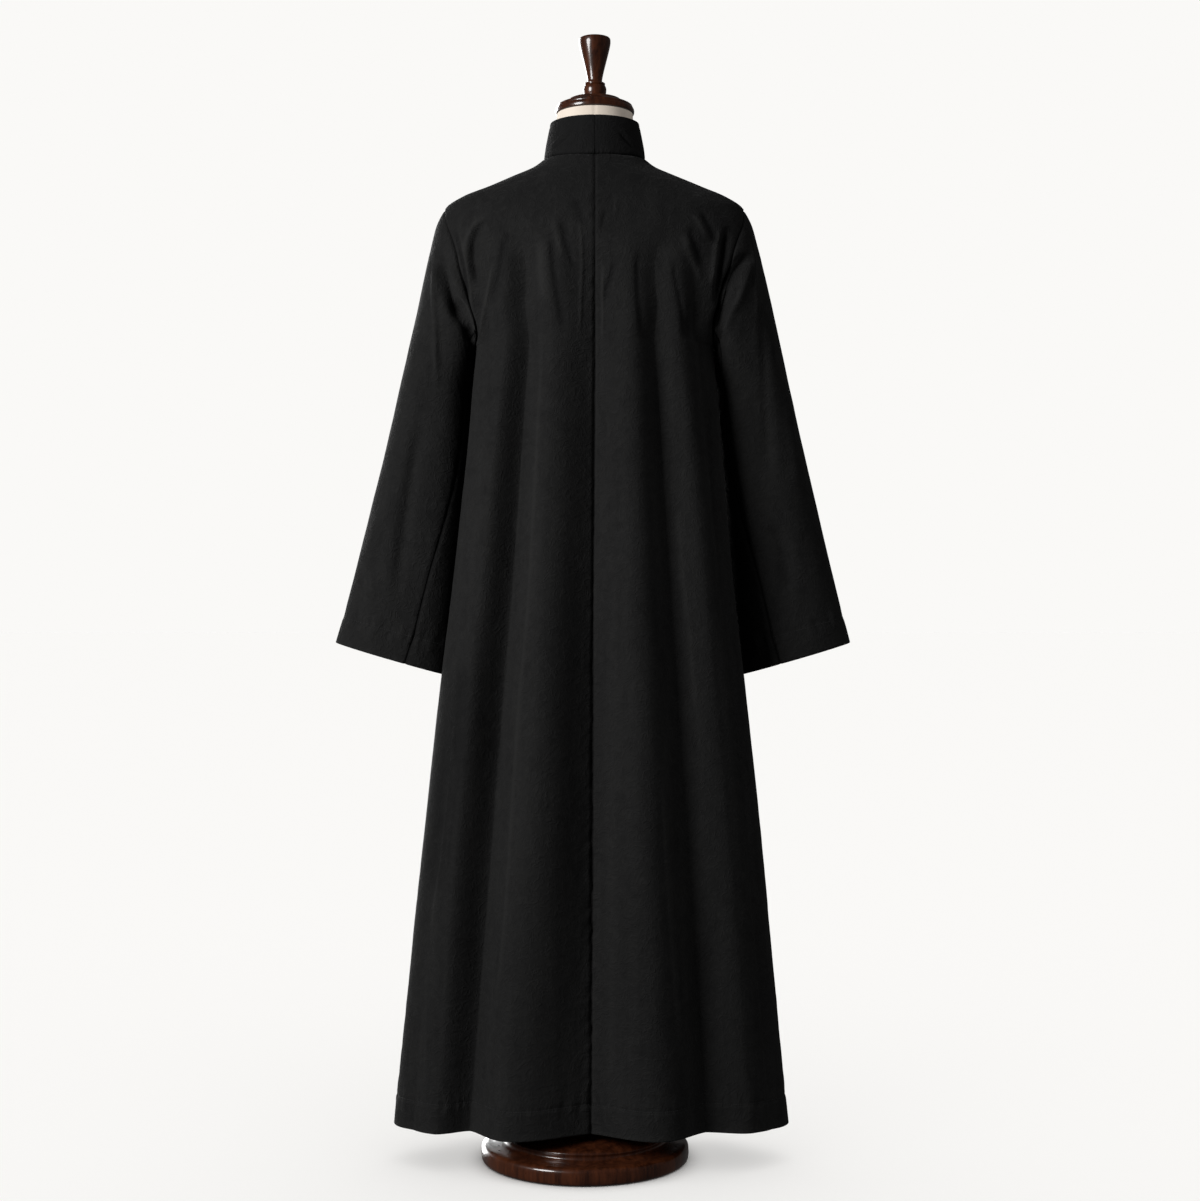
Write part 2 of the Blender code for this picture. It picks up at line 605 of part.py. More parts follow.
def make_sleeve(side, body, first, last):
    """An upper and an under sleeve, set into the armhole ring."""
    ring_points, ring_normals = armhole_ring(body, first, last)
    count = len(ring_points)
    centre = ring_points.mean(axis=0)
    back_column = round(SLEEVE_SEAM_TURNS["back_armhole"] * count / 360.0)
    order = [(back_column + i) % count for i in range(count)]
    sign = 1.0 if side == "left" else -1.0
    set_on = ring_points[order] - sleeve_row(side, 0.0, count)
    grid = []
    for position in SLEEVE_ROWS:
        share = 1.0 - smooth_step(position / SET_IN_END)
        grid.append(sleeve_row(side, position, count) + set_on * share)
    grid = np.array(grid)
    closed = np.concatenate([grid, grid[:, :1]], axis=1)
    normals = grid_normals(closed, sign, before=grid[:, -1], after=grid[:, 1])
    for i, column in enumerate(order):
        away = unit(centre - ring_points[column])
        normal = ring_normals[column]
        towards = unit(away - normal * np.dot(away, normal))
        low = lowness(ring_points[column], centre)
        grid[0, i] = ring_points[column] + towards * ARMHOLE_GAP
        grid[0, i] += np.array([sign * ARMHOLE_GAP * low, 0.0, 0.0])
        share = LOW_BLEND * low
        normals[0, i] = unit(normal * (1.0 - share) + normals[0, i] * share)
    normals[0, -1] = normals[0, 0]
    closed = np.concatenate([grid, grid[:, :1]], axis=1)
    for name, start, stop in (("under", 0, UNDER_STEPS), ("upper", UNDER_STEPS, count)):
        piece = closed[:, start:stop + 1].copy()
        inset_edge(piece, 0, 1, SLEEVE_SEAM_INSET)
        inset_edge(piece, -1, -2, SLEEVE_SEAM_INSET)
        add_wall(
            f"sleeve_{name}_{side}", on_garment(piece), normals[:, start:stop + 1],
            CLOTH_WALL, BLACK_CLOTH,
        )


def make_collar(side, body):
    """Half of the stand collar, set inside the neckline's cut edge."""
    edge = np.concatenate([body["back"][0], body["front"][0, 1:-1]])
    below = np.concatenate([body["back"][1], body["front"][1, 1:-1]])
    edge[-1, 0] = COLLAR_END_HALF_GAP if side == "left" else -COLLAR_END_HALF_GAP
    foot = edge + ARMHOLE_GAP * np.array([unit(a - b) for a, b in zip(edge, below)])
    top = []
    for point in edge:
        depth = SECTIONS[0].back if point[1] > 0.0 else SECTIONS[0].front
        turn = math.degrees(math.atan2(abs(point[0]) / SECTIONS[0].half_width, point[1] / depth))
        top.append(section_point(COLLAR_TOP, turn))
    top = mirrored(np.array(top), side)
    grid = []
    for i in range(COLLAR_ROWS + 1):
        t = i / COLLAR_ROWS
        lean = t ** COLLAR_LEAN
        row = foot + (top - foot) * np.array([lean, lean, 0.0])
        row[:, 2] = foot[:, 2] + (top[:, 2] - foot[:, 2]) * t
        grid.append(row)
    grid = np.array(grid)
    sign = 1.0 if side == "left" else -1.0
    before = grid[:, 1] * np.array([-1.0, 1.0, 1.0])
    normals = grid_normals(grid, sign, before=before)
    inset_edge(grid, 0, 1, SEAM_GAP / 2)
    add_wall(f"collar_{side}", on_garment(grid), normals, COLLAR_WALL, BLACK_CLOTH)


def make_buttons():
    """One row down the centre front, each lying on the left front."""
    levels = np.linspace(HEM_LEVEL, NECK_SIDE_LEVEL, 400)
    heights = [section_at(level).front_z for level in levels]
    for i in range(BUTTON_COUNT):
        height = BUTTON_TOP_HEIGHT - i * BUTTON_PITCH
        level = float(np.interp(height, heights, levels))
        above, here, below = (
            section_point(section_at(level + shift), 180.0)
            for shift in (LEVEL_STEP, 0.0, -LEVEL_STEP)
        )
        along = unit(above - below)
        across = np.array([1.0, 0.0, 0.0])
        out = np.cross(across, along)

        def place(point, here=here, along=along, across=across, out=out):
            lifted = here + out * (BUTTON_STAND_OFF + point[2])
            return on_garment(lifted + across * point[0] + np.cross(out, across) * point[1])

        add_turned(f"button_{i + 1:02d}", BUTTON_PROFILE, BLACK_BUTTON, BUTTON_SIDES, place)


# ------------------------------------------------------------- form and stand
def make_form():
    """The cloth-covered torso: smooth, closed and clear of the garment."""
    turns = [360.0 * i / FORM_COLUMNS for i in range(FORM_COLUMNS)]
    rings = [
        np.array([section_point(section, turn) for turn in turns]) for section in FORM_NECK
    ]
    inset = CLOTH_WALL + FORM_CLEARANCE
    for level in FORM_SHOULDER_LEVELS:
        section, below = section_at(level), section_at(level - LEVEL_STEP)
        ring = []
        for turn in turns:
            point = section_point(section, turn)
            forward = np.array([0.0, max(0.0, -math.cos(math.radians(turn))), 0.0])
            along = section_point(section, turn + 1.0) - section_point(section, turn - 1.0)
            normal = unit(np.cross(along, section_point(below, turn) - point))
            ring.append(point - normal * inset + forward * FORM_FRONT_CLEARANCE)
        rings.append(np.array(ring))
    for row in FORM_BELOW_SHOULDER:
        section = Section(
            row.name, row.z, row.z, row.z, row.half_width, row.back, row.front, 1.0
        )
        rings.append(np.array([section_point(section, turn) for turn in turns]))
    points = on_garment(np.concatenate(rings))
    faces = []
    for ring in range(len(rings) - 1):
        for i in range(FORM_COLUMNS):
            a, b = ring * FORM_COLUMNS + i, ring * FORM_COLUMNS + (i + 1) % FORM_COLUMNS
            faces.append((a, b, b + FORM_COLUMNS, a + FORM_COLUMNS))
    last = (len(rings) - 1) * FORM_COLUMNS
    faces.append(tuple(reversed(range(FORM_COLUMNS))))
    faces.append(tuple(range(last, last + FORM_COLUMNS)))
    add_mesh("form_torso", points, faces, CREAM_CLOTH, smooth=True)


def make_stand():
    """The base and column, and the cap and finial over the neck."""
    add_turned("stand_base", BASE_PROFILE, DARK_WOOD, TURNED_SIDES)
    rise = FORM_UNDERSIDE - COLUMN_FOOT

    def lean(point):
        share = (point[2] - COLUMN_FOOT) / rise
        return point + np.array([axis_shift(FORM_UNDERSIDE) * share, 0.0, 0.0])

    column = (
        Turning(BASE_PROFILE[-1].z + PIECE_GAP, 0.0300), Turning(0.0960, 0.0310),
        Turning(0.1010, 0.0290), Turning(0.1040, COLUMN_RADIUS),
        Turning(FORM_UNDERSIDE - PIECE_GAP, COLUMN_RADIUS),
    )
    add_turned("stand_column", column, DARK_WOOD, TURNED_SIDES, lean)
    add_turned("neck_cap", CAP_PROFILE, DARK_WOOD, TURNED_SIDES, on_garment)
    add_turned("finial", FINIAL_PROFILE, DARK_WOOD, TURNED_SIDES, on_garment)


def main():
    for old in list(bpy.data.objects):
        bpy.data.objects.remove(old, do_unlink=True)
    bpy.context.scene.unit_settings.length_unit = "METERS"
    first = SHOULDER_ROWS
    last = SHOULDER_ROWS + ARMHOLE_ROWS
    body = make_body(armhole_rows=range(first + 1, last))
    for side in ("left", "right"):
        make_sleeve(side, body[side], first, last)
        make_collar(side, body[side])
    make_buttons()
    make_form()
    make_stand()


main()
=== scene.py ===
"""A plain black cassock on a limbless dress form: its cloth, sewing, stand and studio.

Metres, +Z up, the stand's underside at Z = 0. The garment faces -Y and its wearer's
left is +X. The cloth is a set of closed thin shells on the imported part's own surfaces,
with finer folds, seams, creases and stitches worked into them.
"""

import math
from collections import namedtuple

import bpy
import numpy as np
from bpy.props import FloatProperty, FloatVectorProperty, PointerProperty
from mathutils import Matrix, Vector


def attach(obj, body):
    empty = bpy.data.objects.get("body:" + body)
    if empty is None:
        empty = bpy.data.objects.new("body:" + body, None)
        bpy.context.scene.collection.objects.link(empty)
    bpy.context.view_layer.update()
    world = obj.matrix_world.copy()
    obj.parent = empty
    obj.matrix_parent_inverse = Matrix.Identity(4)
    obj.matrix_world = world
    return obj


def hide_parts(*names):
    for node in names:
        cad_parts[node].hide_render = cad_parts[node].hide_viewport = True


bl_info = {
    "name": "Cassock on a dress form",
    "version": (1, 0, 0),
    "blender": (4, 5, 0),
    "location": "3D View > Sidebar > Cassock",
    "description": "Builds the cloth, sewing, stand and studio around the packed part",
    "category": "Object",
}

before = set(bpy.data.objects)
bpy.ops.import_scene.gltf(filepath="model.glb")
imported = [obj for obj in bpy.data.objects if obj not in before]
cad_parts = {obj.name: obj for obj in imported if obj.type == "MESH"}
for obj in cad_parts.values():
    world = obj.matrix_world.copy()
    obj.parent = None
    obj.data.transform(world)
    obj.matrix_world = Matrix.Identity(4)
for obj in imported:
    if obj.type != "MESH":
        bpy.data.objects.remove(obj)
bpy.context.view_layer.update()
BODY = "root"
# The tables are for the left side, and X is turned over for the right one.
SIDES = {"left": 1.0, "right": -1.0}

# --------------------------------------------------------------- cloth sizes
CLOTH_WALL = 0.0017
COLLAR_WALL = 0.0026
# The garment and form lean a little to the wearer's right as they rise.
AXIS_LEVELS = (0.050, 0.400, 0.750, 1.060, 1.200)
AXIS_SHIFTS = (-0.0090, -0.0105, -0.0115, -0.0137, -0.0145)
# A slope is read between levels this far apart.
LEVEL_STEP = 0.004

NECK_SIDE_LEVEL = 1.4935
SHOULDER_TIP_LEVEL = 1.4180
UNDERARM_LEVEL = 1.2120
HEM_LEVEL = 0.0560

SHOULDER_ROWS = 20
ARMHOLE_ROWS = 80
SKIRT_ROWS = 176
HEM_TOP_LEVEL = 0.125
HEM_ROWS = 34
ARMHOLE_BACK_REACH = 31.0
ARMHOLE_FRONT_REACH = 34.0

# The fronts lap by twice LAP_HALF, and the under one is pressed in by LAP_DROP.
LAP_HALF = 0.016
LAP_START = 0.036
LAP_DROP = 0.0028
LAP_COLUMNS = 20
BACK_COLUMNS = (34, 34, 28, 24, 22)
FRONT_COLUMNS = (14, 15, 15, 14, 16)
# Above 1, columns crowd towards a panel's upright seams.
NEAR_SEAM = 1.4

# back_round is 1 for a back rounded like an ellipse, and less for a flatter one.
Section = namedtuple(
    "Section", "name back_z side_z front_z half_width back front back_round"
)
SECTIONS = (
    Section("neckline", 1.4880, 1.4935, 1.4560, 0.0755, 0.0710, 0.0740, 1.00),
    Section("neck_root", 1.4735, 1.4800, 1.4420, 0.0930, 0.0780, 0.0850, 1.00),
    Section("collarbone", 1.4565, 1.4650, 1.4260, 0.1275, 0.0855, 0.0960, 0.97),
    Section("mid_shoulder", 1.4375, 1.4500, 1.4090, 0.1620, 0.0930, 0.1040, 0.93),
    Section("shoulder_end", 1.4180, 1.4350, 1.3920, 0.1985, 0.0990, 0.1090, 0.89),
    Section("shoulder_tip", 1.4000, 1.4180, 1.3780, 0.2228, 0.1040, 0.1120, 0.86),
    Section("blade_top", 1.3680, 1.3800, 1.3540, 0.2350, 0.1100, 0.1150, 0.83),
    Section("blade", 1.3260, 1.3320, 1.3160, 0.2330, 0.1145, 0.1175, 0.80),
    Section("chest", 1.2720, 1.2740, 1.2680, 0.2100, 0.1155, 0.1185, 0.78),
    Section("underarm", 1.2120, 1.2120, 1.2120, 0.1780, 0.1135, 0.1180, 0.70),
    Section("ribs", 1.1400, 1.1400, 1.1400, 0.1838, 0.1100, 0.1165, 0.63),
    Section("waist", 1.0630, 1.0630, 1.0630, 0.1900, 0.1090, 0.1170, 0.58),
    Section("hip", 0.8950, 0.8950, 0.8950, 0.2055, 0.1210, 0.1230, 0.52),
    Section("thigh", 0.7150, 0.7150, 0.7150, 0.2260, 0.1330, 0.1320, 0.50),
    Section("knee", 0.3850, 0.3850, 0.3850, 0.2615, 0.1450, 0.1430, 0.58),
    Section("hem", 0.0600, 0.0540, 0.0600, 0.2945, 0.1500, 0.1540, 0.70),
)

# A fold's line runs down the panel. Its share is its angle from the panel's centre
# over a quarter turn, its depth is how far it lies inside the plain section, and
# sharp is how tightly its bottom is creased, from 0 to 1.
Fold = namedtuple(
    "Fold",
    "name chest_share underarm_share thigh_share hem_share"
    " chest_depth thigh_depth hem_depth sharp",
)
SHARE_LEVELS = (1.450, 1.330, 1.212, 0.690, 0.056)
DEPTH_LEVELS = (1.385, 1.290, 0.690, 0.056)
CREST_LINE = 3
BACK_FOLDS = {
    "left": (
        Fold("seam_valley", 0.000, 0.000, 0.000, 0.000, 0.014, 0.042, 0.050, 0.5),
        Fold("lobe_crest", 0.175, 0.215, 0.215, 0.260, 0.000, 0.000, 0.000, 0.0),
        Fold("deep_valley", 0.290, 0.385, 0.418, 0.455, 0.014, 0.040, 0.051, 0.3),
        Fold("outer_crest", 0.380, 0.525, 0.590, 0.600, 0.000, 0.004, 0.018, 0.0),
        Fold("outer_valley", 0.640, 0.760, 0.780, 0.780, 0.004, 0.009, 0.020, 0.3),
        Fold("side_seam", 1.000, 1.000, 1.000, 1.000, 0.000, 0.000, 0.000, 0.0),
    ),
    "right": (
        Fold("seam_valley", 0.000, 0.000, 0.000, 0.000, 0.014, 0.042, 0.050, 0.5),
        Fold("lobe_crest", 0.145, 0.195, 0.195, 0.215, 0.000, 0.000, 0.000, 0.0),
        Fold("deep_valley", 0.250, 0.345, 0.395, 0.420, 0.012, 0.037, 0.046, 0.4),
        Fold("outer_crest", 0.345, 0.495, 0.635, 0.640, 0.000, 0.018, 0.020, 0.0),
        Fold("outer_valley", 0.560, 0.700, 0.800, 0.800, 0.008, 0.016, 0.018, 0.3),
        Fold("side_seam", 1.000, 1.000, 1.000, 1.000, 0.000, 0.000, 0.000, 0.0),
    ),
}
FRONT_FOLDS = {
    "left": (
        Fold("button_edge", 0.000, 0.000, 0.000, 0.000, 0.000, 0.000, 0.000, 0.0),
        Fold("inner_valley", 0.180, 0.225, 0.240, 0.260, 0.002, 0.013, 0.028, 0.5),
        Fold("middle_crest", 0.290, 0.390, 0.420, 0.430, 0.000, 0.000, 0.000, 0.0),
        Fold("outer_valley", 0.400, 0.540, 0.590, 0.600, 0.004, 0.014, 0.032, 0.5),
        Fold("outer_crest", 0.680, 0.760, 0.780, 0.780, 0.000, 0.002, 0.008, 0.0),
        Fold("side_seam", 1.000, 1.000, 1.000, 1.000, 0.000, 0.000, 0.000, 0.0),
    ),
    "right": (
        Fold("button_edge", 0.000, 0.000, 0.000, 0.000, 0.000, 0.000, 0.000, 0.0),
        Fold("inner_valley", 0.190, 0.245, 0.270, 0.300, 0.003, 0.015, 0.034, 0.5),
        Fold("middle_crest", 0.300, 0.410, 0.450, 0.480, 0.000, 0.000, 0.002, 0.0),
        Fold("outer_valley", 0.420, 0.570, 0.630, 0.650, 0.003, 0.012, 0.026, 0.5),
        Fold("outer_crest", 0.700, 0.790, 0.810, 0.820, 0.000, 0.001, 0.006, 0.0),
        Fold("side_seam", 1.000, 1.000, 1.000, 1.000, 0.000, 0.000, 0.000, 0.0),
    ),
}

Ring = namedtuple("Ring", "name out_x out_z in_x in_z half_depth forward")
SLEEVE_RINGS = (
    Ring("armhole", 0.2228, 1.4180, 0.1780, 1.2120, 0.0575, 0.000),
    Ring("cap", 0.2350, 1.3950, 0.1785, 1.2050, 0.0625, 0.001),
    Ring("cap_foot", 0.2465, 1.3550, 0.1787, 1.1970, 0.0655, 0.004),
    Ring("upper_arm", 0.2585, 1.3060, 0.1795, 1.1870, 0.0670, 0.009),
    Ring("biceps", 0.2727, 1.2480, 0.1795, 1.1740, 0.0670, 0.017),
    Ring("above_elbow", 0.2885, 1.1830, 0.1826, 1.1520, 0.0660, 0.028),
    Ring("elbow", 0.3058, 1.1120, 0.1865, 1.0830, 0.0645, 0.040),
    Ring("below_elbow", 0.3241, 1.0380, 0.1930, 1.0060, 0.0620, 0.048),
    Ring("forearm", 0.3426, 0.9650, 0.2000, 0.9300, 0.0595, 0.054),
    Ring("low_forearm", 0.3615, 0.8900, 0.2075, 0.8530, 0.0560, 0.059),
    Ring("wrist", 0.3798, 0.8200, 0.2155, 0.7760, 0.0520, 0.062),
    Ring("cuff", 0.3935, 0.7710, 0.2220, 0.7210, 0.0490, 0.064),
)
SEAM_PLACES = (0.0, 6.0, 9.0, 11.0)
SEAM_TURNS = {
    "back": (144.0, 144.0, 118.0, 107.0),
    "front": (-126.0, -138.0, -140.0, -140.0),
}
UNDER_SHARE = 0.25
CAP_ROWS = 40
ARM_ROWS = 100
CAP_END = 2.0
SET_IN_END = 1.75
SleeveFold = namedtuple("SleeveFold", "side top_turn cuff_turn width depth start stop")
SLEEVE_FOLDS = (
    SleeveFold("left", 72.0, 98.0, 24.0, 0.0060, 2.5, 12.0),
    SleeveFold("left", -70.0, -95.0, 26.0, 0.0055, 3.0, 11.5),
    SleeveFold("right", 80.0, 104.0, 22.0, 0.0060, 2.0, 11.5),
    SleeveFold("right", -78.0, -96.0, 28.0, 0.0050, 3.5, 12.0),
)
FOLD_FADE_IN = 2.0
FOLD_FADE_OUT = 2.5

COLLAR_TOP = Section("collar_top", 1.5455, 1.5465, 1.5030, 0.0665, 0.0645, 0.0670, 1.0)
COLLAR_ROWS = 38
COLLAR_LEAN = 1.25
COLLAR_SEAM_LAP = 0.0010
COLLAR_END_HALF_GAP = 0.0009

# A crease fades over this share of its height at either end, and where the cloth's
# normal turns to the side by more than CREASE_FACING.
CREASE_FADE = 0.25
CREASE_FACING = 0.4
# Creases, given one by one. path holds (height, distance from the garment's centre),
# facing is +1 for the back and -1 for the front, and a height below 0 is a trough.
Crease = namedtuple("Crease", "name facing width rise path")
CREASES = (
    Crease("left_lobe_line", 1, 0.0028, 0.0014,
           ((1.30, 0.073), (1.08, 0.081), (0.86, 0.091), (0.65, 0.107),
            (0.43, 0.120), (0.17, 0.144), (0.10, 0.151))),
    Crease("left_side_line", 1, 0.0028, 0.0013,
           ((0.72, 0.194), (0.61, 0.205), (0.45, 0.222), (0.32, 0.236))),
    Crease("right_lobe_line", 1, 0.0034, 0.0014,
           ((0.62, -0.100), (0.42, -0.111), (0.23, -0.125), (0.12, -0.133))),
    Crease("right_hip_line", 1, 0.0050, 0.0010,
           ((1.00, -0.119), (0.80, -0.140), (0.60, -0.161))),
    Crease("left_side_trough", 1, 0.012, -0.0035,
           ((0.76, 0.187), (0.65, 0.196), (0.56, 0.210), (0.38, 0.231))),
    Crease("left_tip_ridge", 1, 0.0045, 0.0042,
           ((1.398, 0.154), (1.386, 0.170), (1.369, 0.181), (1.350, 0.187),
            (1.327, 0.186))),
    Crease("left_tip_trough", 1, 0.0046, -0.0068,
           ((1.392, 0.155), (1.379, 0.168), (1.359, 0.177), (1.336, 0.178),
            (1.313, 0.175), (1.287, 0.170))),
    Crease("left_armhole_ridge", 1, 0.0028, 0.0020,
           ((1.382, 0.201), (1.353, 0.193), (1.322, 0.187), (1.281, 0.181),
            (1.238, 0.175))),
    Crease("left_armhole_trough", 1, 0.0032, -0.0022,
           ((1.385, 0.206), (1.359, 0.199), (1.330, 0.193), (1.298, 0.187),
            (1.272, 0.181))),
    Crease("left_blade_line", 1, 0.0026, 0.0020,
           ((1.330, 0.147), (1.298, 0.152), (1.272, 0.158), (1.241, 0.165),
            (1.218, 0.170))),
    Crease("left_blade_trough", 1, 0.0055, -0.0026,
           ((1.373, 0.125), (1.347, 0.131), (1.316, 0.136), (1.284, 0.144),
            (1.258, 0.152))),
    Crease("left_lobe_top", 1, 0.0075, 0.0028,
           ((1.359, 0.074), (1.324, 0.074), (1.290, 0.072), (1.258, 0.067))),
    Crease("left_lobe_trough", 1, 0.0060, -0.0028,
           ((1.368, 0.063), (1.330, 0.059), (1.290, 0.054), (1.249, 0.048),
            (1.218, 0.046))),
    Crease("left_yoke_trough", 1, 0.0048, -0.0022,
           ((1.391, 0.050), (1.368, 0.044), (1.339, 0.037), (1.307, 0.027))),
    Crease("left_yoke_ridge", 1, 0.0042, 0.0014,
           ((1.388, 0.060), (1.359, 0.054), (1.327, 0.046))),
    Crease("left_allowance_line", 1, 0.0022, 0.0014,
           ((1.411, 0.024), (1.368, 0.020), (1.322, 0.018), (1.267, 0.020),
            (1.203, 0.021))),
    Crease("left_collarbone_trough", 1, 0.0060, -0.0016,
           ((1.417, 0.028), (1.394, 0.021), (1.371, 0.017))),
    Crease("right_tip_trough", 1, 0.0054, -0.0085,
           ((1.386, -0.197), (1.362, -0.191), (1.333, -0.187), (1.298, -0.182),
            (1.261, -0.179))),
    Crease("right_tip_ridge", 1, 0.0045, 0.0030,
           ((1.379, -0.184), (1.353, -0.178), (1.322, -0.175), (1.287, -0.171))),
    Crease("right_outer_yoke_trough", 1, 0.0045, -0.0032,
           ((1.402, -0.155), (1.385, -0.165), (1.362, -0.175), (1.347, -0.179))),
    Crease("right_outer_yoke_ridge", 1, 0.0045, 0.0020,
           ((1.397, -0.143), (1.376, -0.155), (1.353, -0.165))),
    Crease("right_blade_trough", 1, 0.0052, -0.0030,
           ((1.379, -0.139), (1.356, -0.145), (1.336, -0.152), (1.313, -0.161))),
    Crease("right_blade_ridge", 1, 0.0050, 0.0022,
           ((1.368, -0.128), (1.342, -0.136), (1.316, -0.148), (1.293, -0.155))),
    Crease("right_side_trough", 1, 0.0055, -0.0026,
           ((1.333, -0.112), (1.296, -0.119), (1.255, -0.128), (1.209, -0.136))),
    Crease("right_fold_top", 1, 0.0055, -0.0020,
           ((1.350, -0.067), (1.322, -0.063), (1.281, -0.064), (1.235, -0.068),
            (1.203, -0.073))),
    Crease("right_yoke_nick", 1, 0.0038, -0.0016,
           ((1.399, -0.016), (1.385, -0.014), (1.368, -0.011))),
    Crease("right_yoke_line", 1, 0.0026, 0.0010,
           ((1.425, -0.031), (1.408, -0.031), (1.388, -0.029))),
    Crease("right_yoke_trough", 1, 0.0042, -0.0020,
           ((1.327, -0.031), (1.304, -0.025), (1.281, -0.018), (1.264, -0.014))),
    Crease("right_allowance_line", 1, 0.0022, 0.0014,
           ((1.322, -0.014), (1.281, -0.012), (1.244, -0.012), (1.200, -0.011))),
    Crease("left_cap_ridge", 1, 0.0045, 0.0046,
           ((1.366, 0.236), (1.328, 0.236), (1.280, 0.236), (1.227, 0.234),
            (1.138, 0.234))),
    Crease("left_underarm_trough", 1, 0.0100, -0.0150,
           ((1.351, 0.236), (1.316, 0.224), (1.283, 0.212), (1.256, 0.202),
            (1.233, 0.191))),
    Crease("left_underarm_hollow", 1, 0.0075, -0.0080,
           ((1.283, 0.202), (1.259, 0.193), (1.236, 0.185), (1.212, 0.181))),
    Crease("left_underarm_ridge", 1, 0.0060, 0.0036,
           ((1.336, 0.216), (1.307, 0.206), (1.283, 0.197), (1.262, 0.190))),
    Crease("right_underarm_trough", 1, 0.0085, -0.0090,
           ((1.348, -0.225), (1.329, -0.213), (1.308, -0.201), (1.285, -0.192))),
    Crease("right_underarm_hollow", 1, 0.0065, -0.0080,
           ((1.301, -0.198), (1.277, -0.192), (1.250, -0.184), (1.227, -0.180))),
    Crease("right_inner_roll", 1, 0.0070, 0.0046,
           ((1.351, -0.233), (1.316, -0.225), (1.280, -0.213), (1.247, -0.198),
            (1.213, -0.190))),
    Crease("right_cap_ridge", 1, 0.0034, 0.0026,
           ((1.387, -0.229), (1.348, -0.233), (1.307, -0.236), (1.241, -0.241))),
    Crease("right_cap_trough", 1, 0.0090, -0.0034,
           ((1.282, -0.246), (1.192, -0.252), (1.088, -0.257), (0.999, -0.261))),
    Crease("left_elbow_trough", 1, 0.011, -0.0050,
           ((1.130, 0.256), (1.037, 0.270), (0.938, 0.285), (0.820, 0.298))),
    Crease("left_forearm_ridge", 1, 0.012, 0.0034,
           ((0.990, 0.309), (0.950, 0.323), (0.890, 0.343))),
    Crease("right_elbow_ridge", 1, 0.009, 0.0030,
           ((1.160, -0.290), (1.080, -0.297), (0.995, -0.306))),
    Crease("right_forearm_trough", 1, 0.012, -0.0040,
           ((0.960, -0.270), (0.900, -0.286), (0.835, -0.296))),
    Crease("collar_left_pull", 1, 0.0028, -0.0024,
           ((1.522, 0.029), (1.511, 0.045), (1.498, 0.064))),
    Crease("collar_left_roll", 1, 0.0034, 0.0014,
           ((1.529, 0.033), (1.518, 0.048), (1.505, 0.065))),
    Crease("collar_right_pull", 1, 0.0028, -0.0022,
           ((1.521, -0.036), (1.509, -0.048), (1.498, -0.060))),
    Crease("collar_right_roll", 1, 0.0034, 0.0012,
           ((1.527, -0.040), (1.515, -0.052), (1.504, -0.063))),
    Crease("front_left_chest_trough", -1, 0.010, -0.0035,
           ((1.370, 0.160), (1.320, 0.150), (1.250, 0.152))),
    Crease("front_right_chest_trough", -1, 0.010, -0.0038,
           ((1.375, -0.165), (1.315, -0.154), (1.235, -0.158))),
    Crease("front_left_elbow_trough", -1, 0.012, -0.0046,
           ((1.150, 0.246), (1.060, 0.262), (0.950, 0.280))),
    Crease("front_right_elbow_trough", -1, 0.012, -0.0046,
           ((1.180, -0.240), (1.080, -0.258), (0.980, -0.274))),
    Crease("front_left_line", -1, 0.0040, 0.0010,
           ((0.90, 0.085), (0.60, 0.098), (0.25, 0.118))),
    Crease("front_right_line", -1, 0.0040, 0.0010,
           ((0.80, -0.098), (0.50, -0.114), (0.20, -0.140))),
)


def unit(vectors):
    """Vectors scaled to a length of 1."""
    return vectors / np.maximum(np.linalg.norm(vectors, axis=-1, keepdims=True), 1e-12)


def smooth_step(t):
    t = np.clip(t, 0.0, 1.0)
    return t * t * (3.0 - 2.0 * t)


def smooth_table(knots, values, at):
    """Monotone cubic interpolation, which never overshoots its table."""
    order = np.argsort(knots)
    x = np.asarray(knots, float)[order]
    y = np.asarray(values, float)[order]
    step = np.diff(x)
    rise = np.diff(y) / step
    slope = np.zeros_like(y)
    slope[0], slope[-1] = rise[0], rise[-1]
    before = 2.0 * step[1:] + step[:-1]
    after = step[1:] + 2.0 * step[:-1]
    same = rise[:-1] * rise[1:] > 0.0
    first, second = np.where(same, rise[:-1], 1.0), np.where(same, rise[1:], 1.0)
    slope[1:-1] = np.where(same, (before + after) / (before / first + after / second), 0.0)
    at = np.asarray(at, float)
    i = np.clip(np.searchsorted(x, at) - 1, 0, len(step) - 1)
    t = np.clip((at - x[i]) / step[i], 0.0, 1.0)
    return (
        (1 + 2 * t) * (1 - t) ** 2 * y[i] + t * (1 - t) ** 2 * step[i] * slope[i]
        + t * t * (3 - 2 * t) * y[i + 1] - t * t * (1 - t) * step[i] * slope[i + 1]
    )


def waves(points, length, seed, stretch=(1.0, 1.0, 1.0)):
    """A smooth random field over the points, about -1 to 1, of a given wave length."""
    draw = np.random.default_rng(seed)
    found = np.zeros(points.shape[:-1])
    count = 14
    for _ in range(count):
        direction = unit(draw.normal(size=3)) * np.array(stretch)
        size = draw.uniform(0.75, 1.35) * length
        found += np.cos(points @ direction * (2.0 * math.pi / size) + draw.uniform(0, 7))
    return found * math.sqrt(2.0 / count) * 0.6


# --------------------------------------------------------- the body's surface
def section_at(level):
    knots = [section.side_z for section in SECTIONS]
    found = {
        field: smooth_table(knots, [getattr(s, field) for s in SECTIONS], level)
        for field in ("back_z", "front_z", "half_width", "back", "front", "back_round")
    }
    return Section("between", side_z=np.asarray(level, float), **found)


